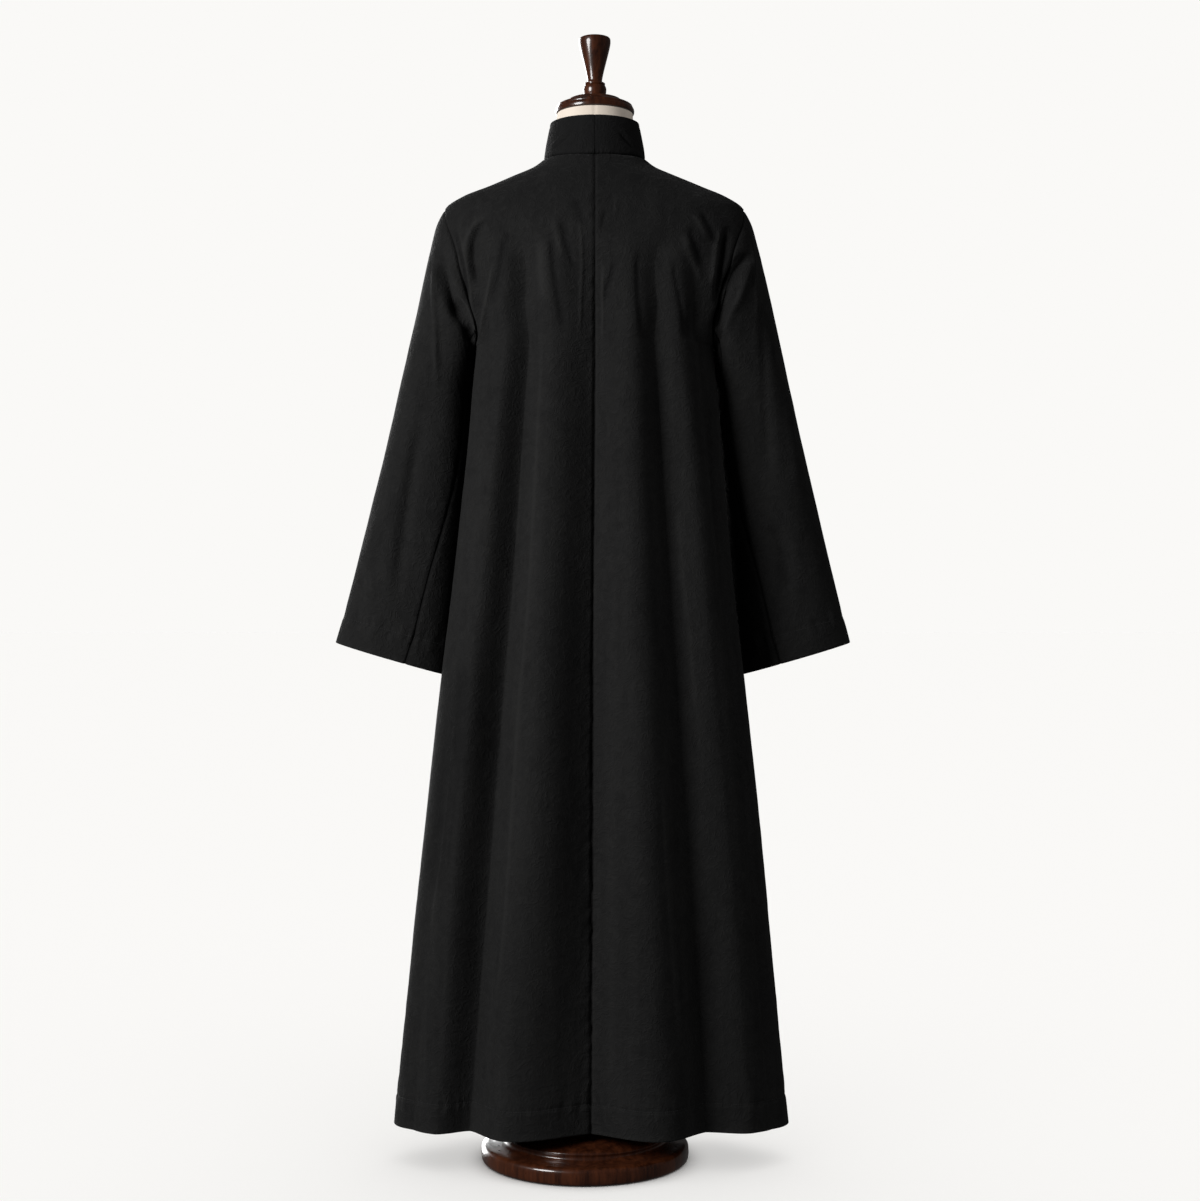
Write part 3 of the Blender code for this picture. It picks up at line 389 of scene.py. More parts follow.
def section_point(section, turn, inset=0.0):
    """Points at angles from the centre back, 90 at the side, 180 in front."""
    angle = np.radians(turn)
    sine, cosine = np.sin(angle), np.cos(angle)
    behind = cosine > 0.0
    way = np.where(behind, 1.0, -1.0)
    depth = np.where(behind, section.back, section.front)
    end_z = np.where(behind, section.back_z, section.front_z)
    power = np.where(behind, section.back_round, 1.0)
    facing = way * np.abs(cosine) ** (2.0 - power) / (power * depth)
    out = unit(np.stack([sine / section.half_width, facing, 0.0 * sine], -1))
    level = section.side_z + (end_z - section.side_z) * cosine * cosine
    reach = way * depth * np.abs(cosine) ** power
    point = np.stack([section.half_width * sine, reach, level], -1)
    return point - out * np.expand_dims(np.broadcast_to(inset, sine.shape), -1)


def body_rows():
    """Levels from the neckline to the hem, with each row's share of the armhole."""
    t = np.arange(SHOULDER_ROWS) / SHOULDER_ROWS
    shoulder = NECK_SIDE_LEVEL + (SHOULDER_TIP_LEVEL - NECK_SIDE_LEVEL) * t
    turn = math.pi * np.arange(ARMHOLE_ROWS) / ARMHOLE_ROWS
    middle = (SHOULDER_TIP_LEVEL + UNDERARM_LEVEL) / 2
    reach = (SHOULDER_TIP_LEVEL - UNDERARM_LEVEL) / 2
    skirt = np.concatenate([
        np.linspace(UNDERARM_LEVEL, HEM_TOP_LEVEL, SKIRT_ROWS, endpoint=False),
        np.linspace(HEM_TOP_LEVEL, HEM_LEVEL, HEM_ROWS + 1),
    ])
    levels = np.concatenate([shoulder, middle + reach * np.cos(turn), skirt])
    opening = np.concatenate([0.0 * shoulder, np.sin(turn), 0.0 * skirt])
    return levels, opening


def fold_columns(counts):
    """Column positions in fold lines, closer together beside the first and last lines."""
    found = []
    for line, count in enumerate(counts):
        t = np.arange(count) / count
        if line == 0:
            t = t ** NEAR_SEAM
        if line == len(counts) - 1:
            t = 1.0 - (1.0 - t) ** NEAR_SEAM
        found.append(line + t)
    return np.append(np.concatenate(found), float(len(counts)))


def share_and_depth(folds, columns, levels, edge):
    """Each row and column's share of the panel and its depth in the folds."""
    shares, depths = [], []
    for fold in folds:
        down = (
            fold.thigh_share, fold.chest_share, fold.underarm_share,
            fold.thigh_share, fold.hem_share,
        )
        shares.append(smooth_table(SHARE_LEVELS, down, levels))
        down = (0.0, fold.chest_depth, fold.thigh_depth, fold.hem_depth)
        depths.append(smooth_table(DEPTH_LEVELS, down, levels))
    crest = shares[CREST_LINE]
    squeeze = (edge - crest) / (1.0 - crest)
    shares = [np.minimum(share, crest + (share - crest) * squeeze) for share in shares]
    share = np.empty((len(levels), len(columns)))
    depth = np.empty_like(share)
    for c, column in enumerate(columns):
        line = min(int(column), len(folds) - 2)
        t = column - line
        share[:, c] = shares[line] + (shares[line + 1] - shares[line]) * t
        first, last = depths[line], depths[line + 1]
        falling = first > last
        sharp = np.where(falling, folds[line].sharp, folds[line + 1].sharp)
        up = np.where(falling, t, 1.0 - t)
        soft = 0.5 - 0.5 * np.cos(math.pi * up)
        ease = (1.0 - sharp) * soft + sharp * np.sin(math.pi * up / 2.0)
        start, end = np.where(falling, first, last), np.where(falling, last, first)
        depth[:, c] = start + (end - start) * ease
    return share, depth


def back_grid(side):
    """Points of one back panel: rows from the neckline down, columns from the seam out."""
    levels, opening = body_rows()
    edge = 1.0 - ARMHOLE_BACK_REACH / 90.0 * opening
    columns = fold_columns(BACK_COLUMNS)
    share, depth = share_and_depth(BACK_FOLDS[side], columns, levels, edge)
    section = section_at(np.repeat(levels[:, None], len(columns), 1))
    return mirrored(section_point(section, share * 90.0, depth), side)


def front_grid(side):
    """Points of one front: columns from the side in, then past the centre front."""
    levels, opening = body_rows()
    edge = 1.0 - ARMHOLE_FRONT_REACH / 90.0 * opening
    columns = fold_columns(FRONT_COLUMNS)
    share, depth = share_and_depth(FRONT_FOLDS[side], columns, levels, edge)
    section = section_at(np.repeat(levels[:, None], len(columns), 1))
    start = np.degrees(np.arcsin(LAP_START / section.half_width))
    turn = share * 90.0 + start * (1.0 - share / edge[:, None])
    grid = section_point(section, 180.0 - turn, depth)[:, ::-1]
    lap = np.linspace(LAP_START, -LAP_HALF, LAP_COLUMNS)[1:]
    section = section_at(np.repeat(levels[:, None], len(lap), 1))
    turn = np.degrees(np.arcsin(lap / section.half_width))
    return mirrored(np.concatenate([grid, section_point(section, 180.0 - turn)], 1), side)


def mirrored(points, side):
    """The grids are worked out for the left; the right ones are turned over in X."""
    return points * np.array([SIDES[side], 1.0, 1.0])


def grid_normals(grid, flip, before=None, after=None, closed_rows=None):
    """Unit normals of a grid. before and after are the columns across a seam, used on
    the rows where the seam is closed."""
    left = np.concatenate([grid[:, :1], grid[:, :-1]], 1)
    right = np.concatenate([grid[:, 1:], grid[:, -1:]], 1)
    shut = np.ones(len(grid), bool) if closed_rows is None else closed_rows
    if before is not None:
        left[shut, 0] = before[shut]
    if after is not None:
        right[shut, -1] = after[shut]
    up = np.concatenate([grid[:1], grid[:-1]])
    down = np.concatenate([grid[1:], grid[-1:]])
    return unit(np.cross(down - up, right - left)) * flip


def arc_lengths(grid):
    """How far each point is along its row and down its column."""
    across = np.linalg.norm(np.diff(grid, axis=1), axis=-1)
    down = np.linalg.norm(np.diff(grid, axis=0), axis=-1)
    across = np.concatenate([np.zeros((len(grid), 1)), np.cumsum(across, 1)], 1)
    down = np.concatenate([np.zeros((1, grid.shape[1])), np.cumsum(down, 0)], 0)
    return across, down


def to_last_row(grid):
    """How far each point is from the grid's last row, along its column."""
    down = arc_lengths(grid)[1]
    return down[-1:] - down


def crease_rise(points, normals):
    """How far the listed creases lift or sink each point."""
    found = np.zeros(points.shape[:-1])
    for crease in CREASES:
        heights = [place[0] for place in crease.path]
        line = smooth_table(heights, [place[1] for place in crease.path], points[..., 2])
        away = (points[..., 0] - line) / crease.width
        fade = CREASE_FADE * (max(heights) - min(heights))
        along = smooth_step((max(heights) - points[..., 2]) / fade)
        along *= smooth_step((points[..., 2] - min(heights)) / fade)
        facing = smooth_step(normals[..., 1] * crease.facing / CREASE_FACING)
        found += crease.rise * along * facing * np.exp(-(away ** 2))
    return found


def seam_groove(distance):
    """The dip beside a sewn seam."""
    sewing = bpy.context.scene.cassock_sewing
    return -sewing.seam_depth * np.exp(-((distance / sewing.seam_width) ** 2))


def on_garment(points):
    """From the garment's own axis to its place over the base."""
    placed = np.array(points, float)
    placed[..., 0] += np.interp(placed[..., 2], AXIS_LEVELS, AXIS_SHIFTS)
    return placed


# ------------------------------------------------------------------- meshes
# A shell's edge bulges by this share of its thickness, and is rubbed by RIM_WEAR more.
EDGE_ROUNDING = 0.35
RIM_WEAR = 0.3


def new_object(name, mesh):
    made = bpy.data.objects.new(name, mesh)
    bpy.context.scene.collection.objects.link(made)
    return made


def shell_faces(index, rim):
    """The quads of a shell's outer and inner walls and of the rounded edge between."""
    half = index.size
    quads = np.stack([index[:-1, :-1], index[1:, :-1], index[1:, 1:], index[:-1, 1:]], -1)
    quads = quads.reshape(-1, 4)
    middle = 2 * half + np.arange(len(rim))
    after, middle_after = np.roll(rim, -1), np.roll(middle, -1)
    return np.concatenate([
        quads,
        quads[:, ::-1] + half,
        np.stack([rim, after, middle_after, middle], -1),
        np.stack([middle, middle_after, after + half, rim + half], -1),
    ])


def mark_cloth(mesh, outer, wear_and_painted_light, sewn, rim):
    """Stores each point's place on the flat cloth, its wear together with painted highlight and
    painted shade, and what is sewn near it, including where painted shadow falls along seam
    lines.
    """
    along, fall = arc_lengths(outer)
    spread = np.stack([along, -fall], -1).reshape(-1, 2)
    spread = np.concatenate([spread, spread, spread[rim]])
    corners = np.empty(len(mesh.loops), np.int32)
    mesh.loops.foreach_get("vertex_index", corners)
    layer = mesh.uv_layers.new(name="cloth")
    layer.data.foreach_set("uv", spread[corners].astype(np.float32).ravel())
    worn = wear_and_painted_light.reshape(-1)
    worn = np.concatenate([worn, worn, worn[rim] + RIM_WEAR]).astype(np.float32)
    mesh.attributes.new("wear_and_painted_light", "FLOAT", "POINT").data.foreach_set("value", worn)
    near = sewn.reshape(-1, 3)
    near = np.concatenate([near, near, near[rim]]).astype(np.float32)
    held = mesh.attributes.new("sewn", "FLOAT_VECTOR", "POINT")
    held.data.foreach_set("vector", near.ravel())


def add_shell(name, outer, normals, thickness, wear_and_painted_light, sewn, material):
    """A closed thin shell under a grid of points, with rounded edges."""
    rows, columns = outer.shape[:2]
    index = np.arange(rows * columns).reshape(rows, columns)
    rim = np.concatenate([
        index[0, :-1], index[:-1, -1], index[-1, :0:-1], index[:0:-1, 0],
    ])
    inward = np.empty_like(outer)
    across = np.diff(outer, axis=1, append=0)
    down = np.diff(outer, axis=0, append=0)
    inward[0], inward[-1] = down[0], -down[-2]
    inward[:, 0], inward[:, -1] = across[:, 0], -across[:, -2]
    flat_outer = outer.reshape(-1, 3)
    flat_inner = (outer - normals * thickness).reshape(-1, 3)
    edge = (flat_outer[rim] + flat_inner[rim]) / 2
    edge -= unit(inward.reshape(-1, 3)[rim]) * thickness * EDGE_ROUNDING
    points = np.concatenate([flat_outer, flat_inner, edge])
    faces = shell_faces(index, rim)
    central = faces[(rows - 1) * (columns - 1) // 2]
    a, b, c = (flat_outer[i] for i in central[:3])
    if np.dot(np.cross(b - a, c - a), normals.reshape(-1, 3)[central[0]]) < 0.0:
        faces = faces[:, ::-1]
    mesh = bpy.data.meshes.new(name)
    mesh.from_pydata(on_garment(points).tolist(), [], faces.tolist())
    mark_cloth(mesh, outer, wear_and_painted_light, sewn, rim)
    mesh.materials.append(material)
    mesh.shade_smooth()
    mesh.set_sharp_from_angle(angle=math.radians(75.0))
    return new_object(name, mesh)


def area_of(grid):
    """The area of a grid of points."""
    a, b = grid[1:, 1:] - grid[:-1, :-1], grid[1:, :-1] - grid[:-1, 1:]
    return float(np.linalg.norm(np.cross(a, b), axis=-1).sum() / 2)


# A cut piece's width, length and area, flat on the table, in metres.
Cut = namedtuple("Cut", "width length area")


def cut_of(grid, width, length, digits=2):
    """A piece laid flat, its sizes rounded to a tailor's measure."""
    area = round(area_of(grid), digits + 1)
    return Cut(round(float(width), digits), round(float(length), digits), area)


def finish_cloth(piece, node, cut):
    """Hides the part that a cloth piece stands for, and rides the piece on the body. Its cut is
    not used.
    """
    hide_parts(node)
    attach(piece, BODY)


# ------------------------------------------------------------ seams and panels
SEAM_PUCKER_LENGTH = 0.019
SEAM_PUCKER_REACH = 0.013
# The body's upright seams pull more strongly below this level.
SEAM_PULL_LEVEL = 0.85
SEAM_PULL_RUN = 0.35
HEM_PUCKER_LENGTH = 0.017
HEM_PUCKER_REACH = 0.016
HEM_LINE_DEPTH = 0.0008
HEM_LINE_WIDTH = 0.0026
HEM_FULLNESS = 0.0005
HEM_FULLNESS_RUN = 0.004
LEVEL_PULL_REACH = 0.012
SEAM_SHADOW_WIDTH = 0.0012
# A crease this high gets the full painted highlight along its ridge, and a trough is given
# painted shade; the cloth's edge is fully rubbed within EDGE_WEAR_REACH.
CREASE_HIGHLIGHT_RISE = 0.002
EDGE_WEAR_REACH = 0.004
# Painted shade darkens the cloth on top of the shoulders, from this level up over this run.
SHOULDER_SHADE_LEVEL = 1.34
SHOULDER_SHADE_RUN = 0.10


def body_panels(side):
    """Both of a side's body grids with their normals, before any finer relief."""
    sign = SIDES[side]
    back, front = back_grid(side), front_grid(side)
    other = mirrored(back[:, 1], "right")
    shut = np.ones(len(back), bool)
    shut[SHOULDER_ROWS + 1:SHOULDER_ROWS + ARMHOLE_ROWS] = False
    back_normals = grid_normals(back, -sign, other, front[:, 1], shut)
    front_normals = grid_normals(front, -sign, back[:, -2], None, shut)
    return back, back_normals, front, front_normals


def crinkle(points):
    """The soft unevenness of washed cotton."""
    height = bpy.context.scene.cassock_cloth.crinkle_height
    broad = waves(points, 0.110, 3, (1.0, 1.0, 0.40))
    middle = waves(points, 0.048, 5, (1.0, 1.0, 0.45))
    fine = waves(points, 0.024, 8, (1.0, 1.0, 0.6))
    patch = 0.65 + 0.35 * waves(points, 0.190, 13)
    return height * (1.7 * broad + 0.8 * middle * patch + 0.3 * fine * patch)


def hem_relief(points, across, up):
    """The turned-up hem: a puckered stitch line, and a fuller band below it."""
    sewing = bpy.context.scene.cassock_sewing
    from_line = up - sewing.hem_depth
    ripple = waves(np.stack([across, 0.25 * up, 0.0 * up], -1), HEM_PUCKER_LENGTH, 21)
    pucker = sewing.pucker * ripple * np.exp(-((from_line / HEM_PUCKER_REACH) ** 2))
    line = -HEM_LINE_DEPTH * np.exp(-((from_line / HEM_LINE_WIDTH) ** 2))
    return pucker + line + HEM_FULLNESS * smooth_step(-from_line / HEM_FULLNESS_RUN)


def fine_relief(grid, normals):
    """The creases, crinkle, hem and upper seam of a panel or of a whole sleeve."""
    across, down = arc_lengths(grid)
    fine = crease_rise(grid, normals) + crinkle(grid)
    return fine + hem_relief(grid, across, down[-1:] - down) + seam_groove(down)


def seam_puckers(distance, along, strength, seed):
    """Small slanting pulls that fade away from a seam."""
    sewing = bpy.context.scene.cassock_sewing
    place = np.stack([0.7 * distance, along + 0.55 * distance, 0.0 * along], -1)
    ripple = waves(place, SEAM_PUCKER_LENGTH, seed)
    return sewing.pucker * strength * ripple * np.exp(-distance / SEAM_PUCKER_REACH)


def sewn_places(beside, along, shadowed_lines):
    """How near each point lies to an upright seam, to a hem or level seam, and to a seam's
    line itself, where painted shadow darkens the cloth, each from 0 to 1."""
    upright = sum(strength * np.exp(-away / SEAM_PUCKER_REACH) for away, strength in beside)
    level = sum(strength * np.exp(-np.abs(away) / LEVEL_PULL_REACH) for away, strength in along)
    # Where painted shadow darkens a seam's line.
    seam_shadow = sum(np.exp(-((away / SEAM_SHADOW_WIDTH) ** 2)) for away in shadowed_lines)
    zero = 0.0 * shadowed_lines[0]
    return np.stack([upright + zero, level + zero, np.minimum(seam_shadow, 1.0)], -1)


def shoulder_share(height):
    """0 below the shoulders and 1 on top of them, where painted shade darkens the cloth."""
    return smooth_step((height - SHOULDER_SHADE_LEVEL) / SHOULDER_SHADE_RUN)


def body_piece(name, grid, normals, seams, material, drop=0.0):
    """Works the finer relief into one body panel and makes its shell. seams holds the
    distance from each upright seam, the seam's strength and its seed."""
    down, up, height = arc_lengths(grid)[1], to_last_row(grid), grid[..., 2]
    fine = fine_relief(grid, normals)
    lower = 0.5 + 0.5 * smooth_step((SEAM_PULL_LEVEL - height) / SEAM_PULL_RUN)
    for from_seam, strength, seed in seams:
        fine += seam_groove(from_seam) * strength
        fine += seam_puckers(from_seam, height, strength * lower, seed)
    hem = up - bpy.context.scene.cassock_sewing.hem_depth
    beside = [(from_seam, strength * lower) for from_seam, strength, _ in seams]
    sewn = sewn_places(beside, [(hem, 1.0)], [away for away, _ in beside] + [down])
    # Painted highlight along crease ridges and painted shade in crease troughs, as paleness of
    # the cloth.
    wear_and_painted_light = np.clip(crease_rise(grid, normals) / CREASE_HIGHLIGHT_RISE, -0.5, 1.0)
    # Paler at the rubbed lower edge, and painted shade on top of the shoulders.
    wear_and_painted_light += 0.5 * np.exp(-up / EDGE_WEAR_REACH) - 0.5 * shoulder_share(height)
    shape = grid + normals * (fine - drop)[..., None]
    return add_shell(name, shape, normals, CLOTH_WALL, wear_and_painted_light, sewn, material)


def panel_cut(grid, centre):
    """A body panel laid flat: its hem, its length with the neck's rise, and its area."""
    across, down = arc_lengths(grid)
    rise = grid[0, :, 2].max() - grid[0, centre, 2]
    return cut_of(grid, across.max(), down[-1, centre] + rise)


def add_backs():
    material = cloth_material()
    for side, seed in (("left", 31), ("right", 32)):
        back, normals, _, _ = body_panels(side)
        across = arc_lengths(back)[0]
        seams = ((across, 1.0, seed), (across[:, -1:] - across, 0.5, seed + 4))
        piece = body_piece(f"back_panel_{side}", back, normals, seams, material)
        finish_cloth(piece, f"back_{side}", panel_cut(back, 0))


def add_fronts():
    """The left front laps over the right one, which is pressed in beneath it."""
    material = cloth_material()
    for side, seed in (("left", 41), ("right", 42)):
        _, _, front, normals = body_panels(side)
        seams = ((arc_lengths(front)[0], 0.5, seed),)
        drop = 0.0
        if side == "right":
            reach = (LAP_START - np.abs(front[..., 0])) / (LAP_START - LAP_HALF)
            past = front[..., 0] > 0.0
            drop = LAP_DROP * smooth_step(np.where(past, 1.0, reach))
        piece = body_piece(f"front_panel_{side}", front, normals, seams, material, drop)
        finish_cloth(piece, f"front_{side}", panel_cut(front, -1))


# ------------------------------------------------------------------- sleeves
# The first rows below the armhole turn from the body's normals to the sleeve's own.
CAP_TURNING_ROWS = 4
SLEEVE_PUCKER = 0.7


def armhole_ring(side):
    """Points and normals round one armhole, from the tip down the back, up the front."""
    back, back_normals, front, front_normals = body_panels(side)
    rows = slice(SHOULDER_ROWS, SHOULDER_ROWS + ARMHOLE_ROWS + 1)
    points = np.concatenate([back[rows, -1], front[rows, 0][-2:0:-1]])
    normals = np.concatenate([back_normals[rows, -1], front_normals[rows, 0][-2:0:-1]])
    return points, normals


def sleeve_relief(side, turn, position):
    """How far the sleeve's soft folds lie inside its plain ring."""
    depth = 0.0 * turn
    last = len(SLEEVE_RINGS) - 1
    for fold in SLEEVE_FOLDS:
        if fold.side != side:
            continue
        middle = fold.top_turn + (fold.cuff_turn - fold.top_turn) * position / last
        away = (turn - middle + 180.0) % 360.0 - 180.0
        fade = smooth_step((position - fold.start) / FOLD_FADE_IN)
        fade = fade * smooth_step((fold.stop - position) / FOLD_FADE_OUT)
        depth = depth + fold.depth * fade * np.exp(-((away / fold.width) ** 2))
    return depth


def sleeve_point(side, turn, position):
    """turn is 0 at the outer line, 90 at the back, 180 beside the body."""
    knots = range(len(SLEEVE_RINGS))
    ring = {
        field: smooth_table(knots, [getattr(r, field) for r in SLEEVE_RINGS], position)
        for field in ("out_x", "out_z", "in_x", "in_z", "half_depth", "forward")
    }
    outer = np.stack([ring["out_x"], -ring["forward"], ring["out_z"]], -1)
    inner = np.stack([ring["in_x"], -ring["forward"], ring["in_z"]], -1)
    angle = np.radians(turn)[..., None]
    arm = (outer - inner) / 2.0
    back = ring["half_depth"][..., None] * np.array([0.0, 1.0, 0.0])
    shrink = 1.0 - sleeve_relief(side, turn, position) / ring["half_depth"]
    spoke = arm * np.cos(angle) + back * np.sin(angle)
    return (outer + inner) / 2.0 + spoke * shrink[..., None]


def sleeve_turns(position, under_steps, upper_steps):
    """The angles of a row's columns: the under sleeve's, then the upper sleeve's."""
    back = smooth_table(SEAM_PLACES, SEAM_TURNS["back"], position)
    front = smooth_table(SEAM_PLACES, SEAM_TURNS["front"], position) + 360.0
    under = np.linspace(back, front, under_steps + 1)[:-1]
    upper = np.linspace(front, back + 360.0, upper_steps + 1)[:-1]
    return np.concatenate([under, upper])


def sleeve_grid(side):
    """A whole sleeve's points and normals, its first column repeated at its end."""
    ring, ring_normals = armhole_ring(side)
    count = len(ring)
    under_steps = round(count * UNDER_SHARE)
    upper_steps = count - under_steps
    cap = np.linspace(0.0, CAP_END, CAP_ROWS, endpoint=False)
    arm = np.linspace(CAP_END, len(SLEEVE_RINGS) - 1, ARM_ROWS + 1)
    positions = np.concatenate([cap, arm])
    turns = np.array([sleeve_turns(p, under_steps, upper_steps) for p in positions])
    places = np.repeat(positions[:, None], count, 1)
    grid = mirrored(sleeve_point(side, turns, places), side)
    first = round(SEAM_TURNS["back"][0] * count / 360.0)
    order = (first + np.arange(count)) % count
    set_in = smooth_step(positions / SET_IN_END)[:, None, None]
    grid = grid + (ring[order] - grid[0]) * (1.0 - set_in)
    closed = np.concatenate([grid, grid[:, :1]], 1)
    normals = grid_normals(closed, SIDES[side], grid[:, -1], grid[:, 1])
    start = np.concatenate([ring_normals[order], ring_normals[order[:1]]])
    for r in range(CAP_TURNING_ROWS):
        share = 0.5 * (1.0 - r / CAP_TURNING_ROWS)
        normals[r] = unit(normals[r] * (1.0 - share) + start * share)
    return closed, normals, under_steps


def add_sleeves():
    material = cloth_material()
    cuff_depth = bpy.context.scene.cassock_sewing.cuff_depth
    for side, seed in (("left", 51), ("right", 52)):
        grid, normals, under = sleeve_grid(side)
        fine, up = fine_relief(grid, normals), to_last_row(grid)
        for name, part in (("under", slice(0, under + 1)), ("upper", slice(under, None))):
            across, down = arc_lengths(grid[:, part])
            to_end = across[:, -1:] - across
            relief = fine[:, part].copy()
            for from_seam in (across, to_end):
                relief += seam_groove(from_seam)
                relief += seam_puckers(from_seam, down, SLEEVE_PUCKER, seed)
            wear_and_painted_light = 0.5 * np.exp(-up[:, part] / EDGE_WEAR_REACH)
            # Painted shade on top of the shoulders.
            wear_and_painted_light -= 0.3 * shoulder_share(grid[:, part, 2])
            beside = ((across, SLEEVE_PUCKER), (to_end, SLEEVE_PUCKER))
            level = ((up[:, part] - cuff_depth, 1.0), (down, 0.5))
            sewn = sewn_places(beside, level, (across, to_end, down))
            shape = grid[:, part] + normals[:, part] * relief[..., None]
            piece = add_shell(
                f"{name}_sleeve_{side}", shape, normals[:, part], CLOTH_WALL, wear_and_painted_light, sewn,
                material,
            )
            cut = cut_of(grid[:, part], across.max(), down.max())
            finish_cloth(piece, f"sleeve_{name}_{side}", cut)


# -------------------------------------------------------------------- collar
TOP_STITCH_PLACE = 0.005
TOP_STITCH_DEPTH = 0.0004
TOP_STITCH_WIDTH = 0.0018
COLLAR_EDGE_WEAR_REACH = 0.003


def collar_grid(side):
    """Half of the stand collar: rows from the neckline up, columns from the back."""
    back, _, front, _ = body_panels(side)
    edge = np.concatenate([back[0], front[0, 1:]])
    below = np.concatenate([back[1], front[1, 1:]])
    keep = edge[:, 0] * SIDES[side] > COLLAR_END_HALF_GAP
    keep[0] = True
    edge, below = edge[keep], below[keep]
    edge = edge + unit(below - edge) * COLLAR_SEAM_LAP
    edge[-1, 0] = COLLAR_END_HALF_GAP * SIDES[side]
    neckline = SECTIONS[0]
    depth = np.where(edge[:, 1] > 0.0, neckline.back, neckline.front)
    sine, cosine = np.abs(edge[:, 0]) / neckline.half_width, edge[:, 1] / depth
    turn = np.degrees(np.arctan2(sine, cosine))
    top = mirrored(section_point(COLLAR_TOP, turn), side)
    t = np.linspace(0.0, 1.0, COLLAR_ROWS + 1)[:, None, None]
    share = np.concatenate([t ** COLLAR_LEAN, t ** COLLAR_LEAN, t], -1)
    grid = edge + (top - edge) * share
    return grid, grid_normals(grid, SIDES[side], mirrored(grid[:, 1], "right"))


def add_collar():
    material = cloth_material()
    for side, seed in (("left", 61), ("right", 62)):
        grid, normals = collar_grid(side)
        across, up = arc_lengths(grid)
        from_top = up[-1:] - up
        fine = 0.5 * crinkle(grid) + 0.5 * seam_groove(up) + 0.25 * seam_groove(across)
        fine += crease_rise(grid, normals)
        from_stitch = (from_top - TOP_STITCH_PLACE) / TOP_STITCH_WIDTH
        fine -= TOP_STITCH_DEPTH * np.exp(-(from_stitch ** 2))
        fine += seam_puckers(up, across, 0.6, seed)
        wear_and_painted_light = 0.7 * np.exp(-from_top / COLLAR_EDGE_WEAR_REACH) - 0.9
        level = ((up, 0.8), (from_top, 0.5))
        sewn = sewn_places(((across, 0.3),), level, (0.6 * up, 1.5 * across))
        shape = grid + normals * fine[..., None]
        piece = add_shell(
            f"collar_half_{side}", shape, normals, COLLAR_WALL, wear_and_painted_light, sewn, material
        )
        finish_cloth(piece, f"collar_{side}", cut_of(grid, across.max(), up.max(), 3))


# ------------------------------------------------------------ shader maths
class Value:
    """One number or vector in a material, with the arithmetic that adds its nodes."""

    def __init__(self, surface, socket):
        self.surface = surface
        self.socket = socket

    def _math(self, operation, first, second):
        return self.surface.node(
            "ShaderNodeMath", {"operation": operation}, {0: first, 1: second}
        )

    def __add__(self, other):
        return self._math("ADD", self, other)

    def __radd__(self, other):
        return self._math("ADD", other, self)

    def __sub__(self, other):
        return self._math("SUBTRACT", self, other)

    def __rsub__(self, other):
        return self._math("SUBTRACT", other, self)

    def __mul__(self, other):
        return self._math("MULTIPLY", self, other)

    def __rmul__(self, other):
        return self._math("MULTIPLY", other, self)

    def __abs__(self):
        return self._math("ABSOLUTE", self, 0.0)


class Surface:
    """A material with a Principled shader, and short ways to add its nodes."""

    def __init__(self, name, **constants):
        self.material = bpy.data.materials.new(name)
        self.material.use_nodes = True
        self.tree = self.material.node_tree
        self.shader = self.tree.nodes["Principled BSDF"]
        for socket, constant in constants.items():
            self.shader.inputs[socket.replace("_", " ")].default_value = constant

    def node(self, kind, settings=None, sockets=None, out=0):
        made = self.tree.nodes.new(kind)
        for setting, value in (settings or {}).items():
            setattr(made, setting, value)
        for place, value in (sockets or {}).items():
            if isinstance(value, Value):
                self.tree.links.new(value.socket, made.inputs[place])
            else:
                made.inputs[place].default_value = value
        return Value(self, made.outputs[out])

    def object_place(self):
        return self.node("ShaderNodeTexCoord", out="Object")

    def stretched(self, place, scale):
        return self.node("ShaderNodeMapping", sockets={"Vector": place, "Scale": scale})

    def noise(self, place, scale, detail=3.0, roughness=0.5, distortion=0.0):
        sockets = {
            "Vector": place, "Scale": scale, "Detail": detail,
            "Roughness": roughness, "Distortion": distortion,
        }
        return self.node("ShaderNodeTexNoise", sockets=sockets)

    def between(self, value, low, high):
        """0 where value is below low, 1 where it is above high, and smooth between."""
        settings = {"interpolation_type": "SMOOTHSTEP", "clamp": True}
        sockets = {0: value, 1: low, 2: high}
        return self.node("ShaderNodeMapRange", settings, sockets)

    def colours(self, factor, first, second):
        settings = {"data_type": "RGBA"}
        sockets = {0: factor, 6: (*first, 1.0), 7: (*second, 1.0)}
        return self.node("ShaderNodeMix", settings, sockets, out=2)

    def bump(self, height, distance):
        return self.node("ShaderNodeBump", sockets={"Height": height, "Distance": distance})

    def ridges(self, place, scale, sharpness, distortion):
        """Thin lines where a soft noise crosses its middle value."""
        line = abs(self.noise(place, scale, 2.0, 0.5, distortion) * 2.0 - 1.0)
        return self.between(1.0 - line * sharpness, 0.0, 1.0)

    def feed(self, **links):
        """Joins values to the shader's own sockets, and hands the material over."""
        for socket, value in links.items():
            self.tree.links.new(value.socket, self.shader.inputs[socket.replace("_", " ")])
        return self.material


# ---------------------------------------------------------------- finishes
# Near-black painted shadow, mixed into the cloth along seam lines.
PAINTED_SEAM_SHADOW = (0.0012, 0.0012, 0.0012)
THREAD_SHADES = ((0.010, 0.010, 0.010), (0.030, 0.030, 0.031))
FORM_SHADES = ((0.82, 0.74, 0.65), (0.68, 0.58, 0.48))
BUTTON_SHADES = ((0.010, 0.010, 0.011), (0.028, 0.027, 0.027))


